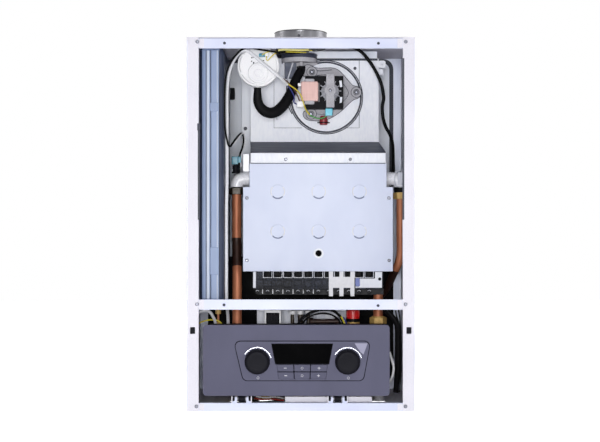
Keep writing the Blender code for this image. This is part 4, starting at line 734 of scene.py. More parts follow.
class OBJECT_OT_boiler_case(bpy.types.Operator):
    """Finish the case and add its screws, tabs, catches, creases and its slots, drawn dark as painted
    shade
    """

    bl_idname = "object.boiler_case"
    bl_label = "Case"

    def execute(self, context):
        sizes = context.scene.boiler_details
        dress("powder_coat", "left_side_panel", "right_side_panel", "top_panel", "bottom_plate")
        dress("galvanised_rail", "top_rail", "middle_rail", "bottom_rail")
        dress("galvanised_sheet", "back_panel")
        spots = on_plane(
            0, (197.3, 41.7), (405.8, 41.7), (197, 304.2), (405.6, 304.3), (196.4, 406.4),
            (405.5, 406.4),
        )
        screws("case_screws", spots, sizes.screw_radius, "zinc_screw")
        tabs = [
            block((side * 196 - 4.2, side * 196 + 4.2), (-0.8, 0.3), (321.5, 333.5), 0.5)
            for side in (-1, 1)
        ]
        ribs = [
            block((side * 201.6 - 0.6, side * 201.6 + 0.6), (-0.6, 0.3), (322.5, 332.5), 0.3)
            for side in (-1, 1)
        ]
        fit(tabs + ribs, "corner_tabs", "powder_coat", slot="white_paint")
        frames = []
        catches = []
        for side in (-1, 1):
            x, z = side * 194.25, -191
            outer = rectangle(around(x, 13), around(z, 16), 2.5)
            inner = rectangle(around(x, 9.4), around(z, 12.4), 1.2)
            frames.append(frame_ring(outer, inner, (-0.9, 0.2)))
            catches.append(block(around(x, 8.6), (1.1, 7), around(z, 11.6), 0.8))
        fit(frames, "catch_frames", "powder_coat", slot="white_paint")
        fit(catches, "cover_catches", "black_abs_and_shadow", slot="black_plastic")
        creases = [
            block(around(side * 203.6, 0.9), (-0.3, 0.3), (-330, 330), 0.2, 1)
            for side in (-1, 1)
        ]
        fit(creases, "post_creases", "galvanised_sheet", slot="white_paint")
        # Dark strips in the posts' slots and beside the catch: painted shade.
        slots = [
            block((-184.8, -181), (-0.3, 0.4), (8, 168), 0.2, 1),
            block((182.4, 185.8), (-0.3, 0.4), (8, 298), 0.2, 1),
            block((-185.8, -180.2), (-0.8, 0.6), (168, 181), 1.4),
        ]
        fit(slots, "post_slot_shadows", "seal_print_and_painted_shadow")
        return {"FINISHED"}


class OBJECT_OT_boiler_rails(bpy.types.Operator):
    """Add the rails' holes, dark discs of painted shade, and the pale tabs at their ends"""

    bl_idname = "object.boiler_rails"
    bl_label = "Rail details"

    def execute(self, context):
        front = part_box("top_rail")[0].y / MM + CASE_DEPTH
        holes = []
        eyelets = []
        for across, down in ((224.5, 43.1), (378.4, 43.3), (224, 304.9), (378.1, 305.6)):
            x, z = seen(across, down, front)
            # Each hole is a dark disc of painted shade, with a pale eyelet round it.
            holes.append(barrel("Y", (x, z), (front - 0.15, front + 0.5), 2.7, 0.1, 24))
            eyelets.append(ring("Y", (x, z), 3, 0.5, front))
        fit(holes, "rail_hole_shadows", "seal_print_and_painted_shadow")
        fit(eyelets, "rail_eyelets", "galvanised_rail", slot="zinc_sheet")
        tabs = []
        for side in (-1, 1):
            for low, high in ((316.5, 333), (-152.9, -136.1), (-335, -322.3)):
                tabs.append(
                    block(around(side * 178.3, 9.4), (front - 0.6, front + 0.4), (low, high), 0.4),
                )
        fit(tabs, "rail_tabs", "powder_coat", slot="white_paint")
        return {"FINISHED"}


def ring(axis, centre, radius, thickness, position, steps=40, sides=8):
    """A round bead: a small circle spun round an axis at a position along it."""
    profile = [
        (
            radius + thickness * math.cos(math.tau * step / sides),
            position + thickness * math.sin(math.tau * step / sides),
        )
        for step in range(sides)
    ]
    return turned(axis, centre, profile, steps)


class OBJECT_OT_boiler_back(bpy.types.Operator):
    """Model the heat shield on the back panel, its dark seal that is also painted shadow, a dark lower
    sheet of painted shade, the side channel and the plug
    """

    bl_idname = "object.boiler_back"
    bl_label = "Back shield"

    def execute(self, context):
        # A dark ring round the shield: its seal, and painted shadow in the gap round the shield.
        seal = frame_ring(
            rectangle((-188, 188), (-318, 334), 20), rectangle((-179, 179), (-309, 325), 14),
            (282.4, 284.4),
        )
        fit(seal, "shield_seal_shadow", "seal_print_and_painted_shadow")
        shield = plate(rectangle((-179.5, 179.5), (-309.5, 325.5), 14), (277, 279), 0.8)
        standoffs = [
            barrel("Y", (x, z), (278.5, 288.8), 6, 0.5)
            for x in (-160, 160)
            for z in (-290, 300)
        ]
        fit([shield, *standoffs], "back_shield", "shield_coat", slot="bright_steel")
        # A dark sheet over the lower back, below the chamber: painted shade.
        lower = plate(rectangle((-187, 187), (-317, -66), 8), (274.8, 276.8), 0.6)
        fit(lower, "lower_shade_sheet", "painted_shade_steel", slot="dark_steel")
        (left, right), (bottom, top) = window((257, 309), (346, 325), 170)
        shelf = plate(rectangle((left, right), (bottom, top), 2), (168, 169.5), 0.4)
        foot = block((left + 20, right - 20), (168.4, 276), (bottom + 1, bottom + 2.5), 0.3)
        fit([shelf, foot], "bay_shelf", "machined_aluminium_and_painted_highlight", slot="zinc_sheet")
        channel = block((-117.5, -98.5), (231, 277.6), (-42, 322), 1)
        step = block((-116, -100), (230.2, 232), (-40, 176), 0.6)
        fit([channel, step], "side_channel", "shield_coat", slot="bright_steel")
        screws("channel_screw", on_plane(231, (245.4, 128.6)), 3.6, "black_screw")
        (left, right), (bottom, top) = window((228, 88), (234.8, 99.5), 272)
        plug = plate(rectangle((left, right), (bottom, top), 2), (269, 277.6), 0.8)
        dot = barrel("Y", ((left + right) / 2, (top + bottom) / 2), (268.2, 270), 1.4, 0.3, 16)
        fit([plug, dot], "cable_plug", "black_abs_and_shadow", slot="black_plastic")
        return {"FINISHED"}


class OBJECT_OT_boiler_flue(bpy.types.Operator):
    """Model the flue collar: flange, air pipe with a rolled rim, exhaust pipe, webs and screws"""

    bl_idname = "object.boiler_flue"
    bl_label = "Flue collar"

    def execute(self, context):
        spot = (0, 150)
        base, top = 336.3, 366
        profile = (
            (48.5, base), (62, base), (62, base + 1), (61.6, base + 1.5), (52, base + 1.6),
            (50.4, base + 3.2), (50, base + 5), (50, top - 4.5), (49.6, top - 4), (49.6, top - 3),
            (50, top - 2.4), (50, top - 0.5), (49.6, top), (48.9, top), (48.5, top - 0.5),
        )
        outside = turned("Z", spot, profile, 72)
        profile = ((30, 332), (31.5, 332), (31.5, top - 0.5), (31.1, top), (30.4, top), (30, top - 0.5))
        inside = turned("Z", spot, profile, 60)
        webs = []
        for turn in (30, 150, 270):
            web = block((30.8, 49.2), (289, 291), (341.4, 361), 0.3)
            matrix = Matrix.Translation(place(0, 150, 0)) @ Matrix.Rotation(math.radians(turn), 4, "Z")
            web.matrix_world = matrix @ Matrix.Translation(-place(0, CASE_DEPTH, 0))
            only(web)
            settle()
            webs.append(web)
        beads = [ring("Z", spot, 50, 0.7, z, 72) for z in (348, 351.5)]
        collar = joined([outside, inside, *webs, *beads])
        # The collar's dark and light bands are painted reflections.
        fit(collar, "flue_collar_formed", "painted_reflection_chrome", nodes=["flue_collar"], slot="zinc_sheet")
        lip = turned(
            "Z", spot, ((48.3, 364.4), (50.3, 364.4), (50.3, 365.7), (49.8, 366), (48.3, 366)), 72,
        )
        fit(lip, "flue_lip_seal", "epdm_rubber", slot="black_rubber")
        x, z = seen(299, 35.6, 100)
        screws("flue_screws", [(x, 100.2, z)], 2.6, "black_screw")
        return {"FINISHED"}


# --- Hood and chamber ----------------------------------------------------------------------------


class OBJECT_OT_boiler_hood(bpy.types.Operator):
    """Model the smoke hood: folded body with a slope painted dark as a painted reflection, flange, seams
    and screws
    """

    bl_idname = "object.boiler_hood"
    bl_label = "Smoke hood"

    def execute(self, context):
        hood = merged("smoke_hood", 0.5)

        # Faces of the lower slope take the blue black: painted reflection.
        def slope(face):
            tilted = face.normal.y < -0.1 and face.normal.z > 0.3
            return 1 if tilted and face.center.z < 0.158 else 0

        fit(
            hood, "smoke_hood_folded", "aluminised_plate", "stain_and_painted_reflection_steel", nodes=["smoke_hood"],
            slot="zinc_sheet", choose=slope,
        )
        front = 150
        # Dark lines along the plate's creases: painted shade.
        lines = [
            wire(on_plane(front, *line), radius, sides=1)
            for radius, line in (
                (0.45, ((274, 127.9), (302, 127.9))), (0.45, ((345, 127.9), (359.2, 127.9))),
                (0.35, ((274, 63), (274, 127.9))), (0.45, ((359.2, 60), (359.2, 100), (359.2, 127.9))),
            )
        ]
        fit(lines, "hood_crease_shadows", "seal_print_and_painted_shadow")
        spots = on_plane(front, (355, 68.3), (355.5, 118.6), (277.2, 118.7))
        screws("hood_screws", spots[:1], 3, "black_screw")
        screws("hood_rivets", spots[1:], 2.4, "machined_aluminium_and_painted_highlight")
        lip = block((-93.2, 157.7), (68.9, 70.2), (113.4, 116.4), 0.5)
        fit(lip, "flange_lip", "aluminised_plate", slot="zinc_sheet")
        # A dark line under the flange's lip: painted shadow.
        shadow = block((-92.6, 157.1), (69.3, 71), (112, 113.3), 0.2)
        fit(shadow, "flange_shadow_line", "seal_print_and_painted_shadow")
        # A dark line along the flange's top fold: painted shadow.
        fold = block((-92.9, 157.4), (68.8, 70.4), (131.6, 134), 0.6)
        fit(fold, "flange_fold_shadow", "seal_print_and_painted_shadow")
        screws("flange_screws", on_plane(70, (285.8, 159.3), (350.3, 159.3)), 3, "zinc_screw")
        left, right = 149.6, 163
        low, high = 299.5, 313.5
        tab = plate(rectangle((left - 1, right), (low, high), 4), (150.2, 151.6), 0.3)
        tab = cut(tab, barrel("Y", (156.5, 306.5), (148, 154), 1.8, 0.1, 20))
        lug = barrel("Y", (156, 291.5), (150.2, 152), 3, 0.5, 24)
        web = block((149.2, 158), (150.4, 151.4), (286, 297), 0.3)
        fit([tab, web, lug], "hood_bracket", "aluminised_plate", slot="zinc_sheet")
        profile = (
            (32.6, 316), (33.6, 316), (34.2, 316.6), (34.2, 318.2), (33.6, 318.8), (33.6, 321.5),
            (34.6, 322.2), (34.6, 324), (32.6, 324),
        )
        duct = turned("Z", (-2.5, 150), profile, 56)
        fit(duct, "outlet_sleeve", "stain_and_painted_reflection_steel", slot="cast_aluminium")
        (left, right), (low, high) = window((283, 57), (298, 80), 140)
        strip = block((left, left + 2.6), (138.5, 149.4), (low, high), 0.8)
        brace = wire(run(((294.8, 57, 139), (291, 69, 139), (287.2, 81, 142))), 1.4, sides=3)
        fit([strip, brace], "outlet_flanges", "machined_aluminium_and_painted_highlight", slot="cast_aluminium")
        cheek = block((left + 3.4, right - 3), (141, 149.4), (low + 3, high), 0.8)
        fit(cheek, "outlet_cheek", "stain_and_painted_reflection_steel", slot="cast_aluminium")
        (left, right), (bottom, top) = window((309, 51.4), (377, 58.6), 152)
        baffle = block((left, right), (151, 153), (bottom, top), 0.5)
        fit(baffle, "top_baffle", "shield_coat", slot="zinc_sheet")
        # A dark band under the baffle, where the top meets the back: painted shadow.
        edge = block((left + 4, right + 1), (148.6, 153), (bottom - 4.2, bottom), 0.5)
        fit(edge, "hood_edge_shadow", "seal_print_and_painted_shadow")
        return {"FINISHED"}


class OBJECT_OT_boiler_cover(bpy.types.Operator):
    """Model the chamber's cover with its pressed rings and their painted highlight and shadow arcs, sight
    hole, folded edges and screws
    """

    bl_idname = "object.boiler_cover"
    bl_label = "Chamber cover"

    def execute(self, context):
        sizes = context.scene.boiler_details
        centre, front = 32, 70
        neck, half = 127, 138.5
        top, shoulder, bottom = 112, 68.6, -87.4
        left, right = centre - half, centre + half
        outline = (
            (left, bottom), (right, bottom), (right, shoulder), (centre + neck, shoulder),
            (centre + neck, top), (centre - neck, top), (centre - neck, shoulder), (left, shoulder),
        )
        sheet = plate(outline, (front, front + 1), 0.35)
        hole = barrel("Y", (33.1, -54.2), (front - 3, front + 4), 6.5, 0.1, 32)
        sheet = cut(sheet, hole)
        spots = [(centre + x, z) for x in (-74.5, 1.4, 76.7) for z in (60.1, -13.6)]
        rings = [ring("Y", spot, sizes.ring_radius, 0.9, front + 0.1, 64, 12) for spot in spots]
        # Arcs round each ring: white ones at the sides are painted highlights, grey ones underneath
        # painted shadows.
        arcs = [
            [
                wire(
                    [(x, front - 0.6, z) for x, z in circle(spot, sizes.ring_radius, 10, start, sweep)],
                    1.15, sides=2,
                )
                for spot in spots
            ]
            for start, sweep in ((-38, 80), (138, 76), (222, 92))
        ]
        folds = [
            block((right - 1.4, right + 0.3), (front - 0.8, front + 9), (bottom, shoulder), 0.5),
            block((left, right), (front - 0.8, front + 9), (bottom - 0.4, bottom + 1.4), 0.5),
            block((left - 0.3, left + 0.8), (front - 0.3, front + 9), (bottom, shoulder), 0.3),
        ]
        cover = joined([sheet, *rings, *folds])
        fit(
            cover, "chamber_cover_pressed", "aluminised_cover", nodes=["chamber_cover"],
            slot="bright_steel",
        )
        fit([*arcs[0], *arcs[1]], "cover_ring_highlights", "white_ceramic_and_painted_highlight", slot="bright_steel")
        fit(arcs[2], "cover_ring_shadows", "shaded_steel", slot="bright_steel")
        profile = (
            (5.8, front + 1), (5.8, front - 0.6), (6.4, front - 1.2), (8.8, front - 1.2),
            (9.4, front - 0.5), (9.4, front + 1),
        )
        eyelet = turned("Y", (33.1, -54.2), profile, 48)
        fit(eyelet, "sight_ring", "aluminised_plate", slot="bright_steel")
        glass = barrel("Y", (33.1, -54.2), (front + 1.2, front + 2.6), 7.4, 0.3, 32)
        fit(glass, "sight_glass", "black_acrylic")
        spots = on_plane(front, (246.9, 198), (389, 198), (246.9, 260.4), (389.1, 260.4))
        screws("cover_screws", spots, 3.2, "zinc_screw")
        dress("galvanised_sheet", "chamber_shell")
        dress("exchanger_copper", "heat_exchanger")
        return {"FINISHED"}


class OBJECT_OT_boiler_elbows(bpy.types.Operator):
    """Model the silver elbows with their collars, clip, sensor and connector"""

    bl_idname = "object.boiler_elbows"
    bl_label = "Water elbows"

    def execute(self, context):
        depth, top = 130, 86
        for name, pipe_x, inner_x in (("flow_elbow", -121.8, -97.3), ("return_elbow", 189.5, 161.3)):
            side = 1 if pipe_x > inner_x else -1
            bend = [
                (
                    pipe_x - side * 13.5 + side * 13.5 * math.sin(math.radians(angle)), depth,
                    top - 13.5 + 13.5 * math.cos(math.radians(angle)),
                )
                for angle in range(0, 91, 15)
            ]
            route = [(inner_x + side * 0.2, depth, top), *bend, (pipe_x, depth, 70.3)]
            body = wire(route, 12.2, sides=7)
            low, high = sorted((inner_x, inner_x + side * 7))
            collar = barrel("X", (depth, top), (low, high), 13, 0.9, 40)
            low, high = sorted((inner_x + side * 8.2, inner_x + side * 10.6))
            second = barrel("X", (depth, top), (low, high), 13, 0.7, 40)
            foot = barrel("Z", (pipe_x, depth), (70.2, 73), 13, 0.7, 40)
            elbow = joined([body, collar, second, foot])
            fit(elbow, name + "_moulded", "white_nylon", nodes=[name], slot="cast_aluminium")
        clip = [
            wire(
                (
                    (196, 115.6, 100.5), (182.5, 115.6, 100.5), (179.8, 115.6, 98),
                    (179.8, 115.6, 72.5), (182.5, 115.6, 70.6), (196, 115.6, 70.6),
                ),
                0.9, sides=2,
            ),
            block((183.5, 201), (114.4, 116.6), (74, 97.5), 0.8),
        ]
        fit(clip, "return_clip", "machined_aluminium_and_painted_highlight", slot="cast_aluminium")
        profile = (
            (0, 96), (7.5, 96), (7.5, 99), (5.4, 100), (5.4, 104), (6.6, 104.6), (6.6, 110), (4.6, 111),
            (4.6, 114), (0, 114),
        )
        stem = turned("Z", (-123.4, 126), profile, 32)
        fit(stem, "flow_sensor", "black_abs_and_shadow", slot="black_plastic")
        plug = [
            block((-131, -118.6), (119, 132), (113, 128), 1),
            block((-118.8, -113), (121.5, 129.5), (116, 129.5), 0.9),
            block((-129.4, -120), (117.6, 119.4), (115, 126), 0.5),
        ]
        fit(plug, "flow_connector", "teal_nylon")
        strip = block((-110.5, -97.8), (134, 145), (99.5, 134), 1.2)
        fit(strip, "sensor_bracket", "white_nylon", slot="bright_steel")
        return {"FINISHED"}


# --- Burner --------------------------------------------------------------------------------------

BLADE_PITCH = 18.95
BLADES_X = [-61.8 + BLADE_PITCH * index for index in range(11)]


class OBJECT_OT_boiler_burner(bpy.types.Operator):
    """Finish the burner and add its window rims, ledges, shield plates, nozzles with their painted
    highlights, and strip
    """

    bl_idname = "object.boiler_burner"
    bl_label = "Burner assembly"

    def execute(self, context):
        front = 85
        dress("burner_steel", "burner_tray")
        dress("blade_steel", *[f"burner_blade_{index:02d}" for index in range(1, 12)])
        dress("phosphated_steel", "gas_manifold")
        window = frame_ring(
            rectangle((-8.6, 8.6), (-6.8, 6.8), 1.2), rectangle((-7.6, 7.6), (-5.9, 5.9), 0.8),
            (-0.9, 0.2), 0.15,
        )
        moves = [(x, front, -93.6) for x in BLADES_X]
        fit(copies(window, moves), "window_rims", "machined_aluminium_and_painted_highlight", slot="bright_steel")
        left = block((-88.9, -83.5), (82.6, 84.9), (-119.8, -88.6), 0.6)
        fit(left, "tray_end_strip", "machined_aluminium_and_painted_highlight", slot="bright_steel")
        outline = (
            (102, -119.6), (151.6, -119.6), (151.6, -89.2), (138.5, -89.2), (138.5, -101.6),
            (102, -101.6),
        )
        right = plate(outline, (83.2, 84.9), 0.5)
        hole = barrel("Y", seen(379.7, 279, front), (80, 90), 3, 0.1, 24)
        fit(cut(right, hole), "tray_shield", "aluminised_plate", slot="bright_steel")
        x, z = seen(357.6, 282.2, front)
        patch = plate(rectangle(around(x, 8.6), around(z, 16.5), 3.5), (81.8, 83.4), 0.5)
        fit(patch, "shield_window", "blued_steel", slot="dark_steel")
        ledge = block((-83, 52), (81.6, 84.9), (-103.4, -100.6), 0.6)
        lower = block((-88.9, 151.6), (80.8, 84.9), (-121.4, -118.8), 0.6)
        fit([ledge, lower], "tray_ledges", "burner_steel", slot="bright_steel")
        plates = []
        for index, x in enumerate(BLADES_X[:6]):
            height = (-116, -104.6) if index % 2 else (-117.4, -105.4)
            plates.append(block((x - 7.6, x + 7.6), (82.4, 84.9), height, 1.6))
        fit(plates, "air_vanes", "burner_steel", slot="bright_steel")
        profile = (
            (0, -2.2), (1.2, -2.2), (1.6, -1.2), (3, -1.2), (3.5, -0.7), (3.5, 0.6), (4.6, 0.8),
            (4.6, 2), (0, 2),
        )
        head = turned("Y", (0, 0), profile, 24)
        spots = [(x, 87.8, -126.6) for x in (BLADES_X[0] - BLADE_PITCH, *BLADES_X)]
        fit(copies(head, spots), "nozzle_heads", "phosphated_steel", slot="dark_steel")
        # Pale arcs over the nozzle heads: painted highlights.
        highlight_arc = wire([(x, 85.2, z) for x, z in circle((0, 0), 3, 8, 20, 140)], 0.6, sides=1)
        moves = [(x, 0, z) for x, _, z in spots]
        fit(copies(highlight_arc, moves), "nozzle_highlights", "machined_aluminium_and_painted_highlight", slot="dark_steel")
        tick = block((-0.7, 0.7), (-3.4, 2), (-4, 4), 0.3)
        spots = [(x - 9.4, 88, -126) for x in BLADES_X[:6]]
        fit(copies(tick, spots), "nozzle_clips", "white_ceramic_and_painted_highlight")
        bracket = merged("electrode_bracket", 0.9, 3)
        fit(
            bracket, "electrode_holder", "white_ceramic_and_painted_highlight", nodes=["electrode_bracket"],
            slot="white_plastic",
        )
        return {"FINISHED"}


# --- Fan -----------------------------------------------------------------------------------------


FAN_CENTRE = (48.4, 242.7)  # x and z of the fan's round plate
FAN_AXIS = (55.3, 249.7)  # x and z of its shaft


class OBJECT_OT_boiler_fan(bpy.types.Operator):
    """Model the fan's round plate with its seam and volute outline drawn as painted shadow lines, and
    finish the drum
    """

    bl_idname = "object.boiler_fan"
    bl_label = "Fan housing"

    def execute(self, context):
        dress("die_cast_aluminium", "fan_housing")
        plate_front = 146.5
        profile = (
            (6.2, plate_front + 0.4), (6.2, 145.2), (58, 145.2), (59.2, 144.6), (60.8, 144.6),
            (62, 145.4), (63.6, 145.6), (66, 145.6), (67.8, 146), (68.4, plate_front + 0.4),
        )
        disc = turned("Y", FAN_CENTRE, profile, 96)
        disc = cut(disc, barrel("Y", FAN_AXIS, (140, 150), 7, 0.1, 32))
        fit(disc, "fan_plate", "aluminised_plate", slot="cast_aluminium")
        # Dark rings in the seams round the plate: painted shadow.
        grooves = [
            ring("Y", FAN_CENTRE, 66.6, 1.5, 145.3, 96, 6),
            ring("Y", FAN_CENTRE, 70.2, 0.8, 146.4, 96, 6),
        ]
        fit(grooves, "fan_seam_shadows", "seal_print_and_painted_shadow")
        volute = ((294.7, 58), (291, 69), (287.5, 81.5), (286.6, 93), (288.4, 106), (292, 114))
        lobe = ((294.7, 58), (297, 56.2), (301, 56.4), (304.5, 58.8), (309.6, 60), (316.2, 65))
        # Dark lines along the volute's edge: painted shadow.
        lines = [wire(on_plane(147, *line), 0.9, sides=2) for line in (volute, lobe)]
        fit(lines, "volute_seam_shadow", "seal_print_and_painted_shadow")
        x, z = seen(299.7, 61.2, 143)
        lobe_plate = plate(
            [
                seen(*spot, 144)
                for spot in (
                    (294.2, 60), (297, 55.8), (301.6, 55.4), (305.6, 58.2), (311, 60.2), (318, 64),
                    (312, 66.4), (305.4, 66), (301.6, 69), (296.6, 66.4), (292.6, 72), (291.4, 66),
                )
            ],
            (142.6, 147), 1,
        )
        fit(lobe_plate, "volute_lobe", "die_cast_aluminium", slot="cast_aluminium")
        screws("fan_screw", [(x, 142.7, z)], 3.2, "machined_aluminium_and_painted_highlight")
        return {"FINISHED"}


BRACKET_BAND = (
    (303.5, 66.5), (307, 64.8), (311.5, 65.6), (315, 67.6), (321, 68.2), (331, 67.8), (337.5, 69.6),
    (343, 74.5), (348.5, 81), (353, 85.6), (357.5, 86.6), (361, 89.4), (361.4, 94.2), (358.6, 98),
    (354, 99.6), (349, 103.6), (343, 109.6), (337, 114.4), (330, 118.4), (322, 121), (314.5, 120.8),
    (307.6, 120), (303.6, 116.6), (303.8, 111.6), (308, 110.6), (315, 113.6), (323, 114.4),
    (331, 111.4), (338, 106.6), (344, 100.6), (347.4, 96.6), (348.4, 92.6), (346.4, 88), (341, 81.4),
    (335.6, 76.4), (329, 74.8), (319, 75.2), (312.6, 77.2), (306.6, 78), (302.4, 74.6), (301.8, 70),
)


class OBJECT_OT_boiler_motor(bpy.types.Operator):
    """Model the fan motor: cast bracket, laminated core, taped coil, bearing strap and rotor"""

    bl_idname = "object.boiler_motor"
    bl_label = "Fan motor"

    def execute(self, context):
        bracket = merged("motor_bracket", 0.8)
        fit(
            bracket, "motor_bracket_cast", "die_cast_aluminium", nodes=["motor_bracket"],
            slot="cast_aluminium",
        )
        bolts = [(21.4, 289.9), (106, 251.3), (20, 209.7)]
        bosses = [barrel("Y", bolt, (134.6, 140.2), 9.6, 0.9, 40) for bolt in bolts]
        fit(bosses, "motor_bosses", "die_cast_aluminium", slot="cast_aluminium")
        # Dark rings round the bosses: painted shadow.
        rims = [ring("Y", bolt, 9.9, 0.5, 135.6, 48, 6) for bolt in bolts]
        rims += [ring("Y", bolt, 5.4, 0.5, 134.5, 40, 6) for bolt in bolts]
        fit(rims, "motor_boss_rim_shadows", "seal_print_and_painted_shadow")
        screws("motor_screws", [(x, 134.6, z) for x, z in bolts], 4, "zinc_screw")
        band = [seen(*spot, 137) for spot in BRACKET_BAND]
        fit(
            plate(band, (135.8, 140), 1.2, 3), "motor_band", "die_cast_aluminium",
            slot="cast_aluminium",
        )
        # Dark lines round the band and in its groove: painted shadow.
        edge = wire([(x, 136.4, z) for x, z in band], 0.6, sides=1, smooth=2)
        fit(edge, "motor_band_edge_shadow", "seal_print_and_painted_shadow")
        line = on_plane(135.6, (313.4, 69.8), (318, 70.8), (327, 70.4), (332, 69.8))
        groove = wire(line, 0.7, sides=1)
        fit(groove, "motor_band_groove_shadow", "seal_print_and_painted_shadow")
        core = merged("motor_stator", 0.7)
        rivets = [
            barrel("Y", (x, z), (106.6, 108.4), 2.4, 0.5, 20)
            for x in (13.5, 74)
            for z in (223, 273.5)
        ]
        core = joined([core, *rivets])
        fit(core, "motor_core", "core_lamination", nodes=["motor_stator"], slot="black_lamination")
        coil = merged("motor_coil", 3.2, 4)
        fit(coil, "motor_winding", "winding_tape", nodes=["motor_coil"], slot="coil_tape")
        wraps = [
            block((-0.1, 33.6), (97.4, 98.6), around(z, 0.5), 0.2, 1)
            for z in (237, 243, 249.2, 255.4, 261.6)
        ]
        fit(wraps, "winding_wraps", "winding_tape", slot="coil_tape")
        ends = []
        for z, height in ((228.6, 7.6), (270, 5.4)):
            ends.append(plate(rectangle((7.4, 25.6), around(z, height), 2.4), (99, 106), 1))
        fit(ends, "pole_ends", "die_cast_aluminium", slot="cast_aluminium")
        left = [
            block((-5.4, 2.2), (100, 112), (258.6, 265), 1),
            block((-7, 5.6), (98.4, 114), (219.4, 230.6), 1.2),
        ]
        fit(left, "winding_terminals", "white_polyamide", slot="white_plastic")
        tabs = [
            plate([seen(*spot, 106) for spot in tab], (105.6, 107.4), 0.4)
            for tab in (
                ((339.2, 80.6), (341.6, 80.4), (342.4, 86.8), (340, 87.2)),
                ((340, 97), (342.4, 97), (341.8, 102.4), (339.6, 103.2)),
            )
        ]
        fit(tabs, "core_tabs", "aluminised_plate", slot="white_plastic")
        strap = merged("bearing_strap", 0.7)
        fit(
            strap, "bearing_strap_cast", "die_cast_aluminium", nodes=["bearing_strap"],
            slot="cast_aluminium",
        )
        profile = (
            (3.5, 88.2), (3.5, 86.6), (5.4, 86.2), (6.4, 86.8), (6.8, 87.6), (9, 87.8), (9.8, 88.2),
            (9.8, 88.6),
        )
        face = turned("Y", FAN_AXIS, profile, 48)
        ears = [
            barrel("Y", (FAN_AXIS[0], FAN_AXIS[1] + z), (89.4, 91.4), 3.4, 0.6, 24)
            for z in (-25.5, 25.5)
        ]
        fit([face, *ears], "bearing_cap", "die_cast_aluminium", slot="cast_aluminium")
        rotor = merged("fan_rotor", 0.25, 1)
        fit(
            rotor, "fan_rotor_vaned", "dull_aluminium", body="fan_rotor", nodes=["fan_rotor"],
            slot="cast_aluminium",
        )
        nut = turned("Y", FAN_AXIS, ((0, 87), (1.8, 87), (2.8, 87.6), (2.8, 89.2), (0, 89.2)), 24)
        fit(nut, "shaft_end", "zinc_screw", body="fan_rotor", slot="cast_aluminium")
        spade = block((46.5, 60), (106, 112), (204, 217.6), 1.2)
        fit(spade, "earth_connector", "blue_vinyl")
        return {"FINISHED"}


class OBJECT_OT_boiler_thermostat(bpy.types.Operator):
    """Model the red overheat thermostat with its collar and terminals"""

    bl_idname = "object.boiler_thermostat"
    bl_label = "Overheat thermostat"

    def execute(self, context):
        x, z, depth = 43.6, 197.5, 137
        profile = (
            (0, z - 8.6), (6.4, z - 8.6), (7.2, z - 8), (7.8, z - 4.6), (7.8, z + 2), (7.2, z + 2.6),
            (7.2, z + 3.4), (7, z + 3.8), (6.5, z + 7.6), (5.6, z + 8.6), (0, z + 8.6),
        )
        body = turned("Z", (x, depth), profile, 48)
        foot = block((x - 5, x + 5), (138, 146.2), (z - 6, z + 2), 0.6)
        piece = joined([body, foot])
        fit(piece, "thermostat_body", "red_bakelite", nodes=["overheat_thermostat"], slot="red_plastic")
        profile = (
            (8, z - 5.4), (9.6, z - 5.2), (9.6, z - 3.6), (8, z - 3.4), (7.4, z - 3.4), (7.4, z - 5.4),
        )
        collar = turned("Z", (x, depth), profile, 48)
        ears = block((x - 12, x + 12), (134.5, 139.5), (z - 5.2, z - 3.4), 0.5)
        fit([collar, ears], "thermostat_collar", "black_abs_and_shadow", slot="black_plastic")
        blades = [
            block((x - 4.4, x - 1.4), (136.4, 137.2), (z + 8, z + 13), 0.2),
            block((x + 1.4, x + 4.4), (136.4, 137.2), (z + 8, z + 13), 0.2),
        ]
        fit(blades, "thermostat_terminals", "machined_aluminium_and_painted_highlight")
        return {"FINISHED"}


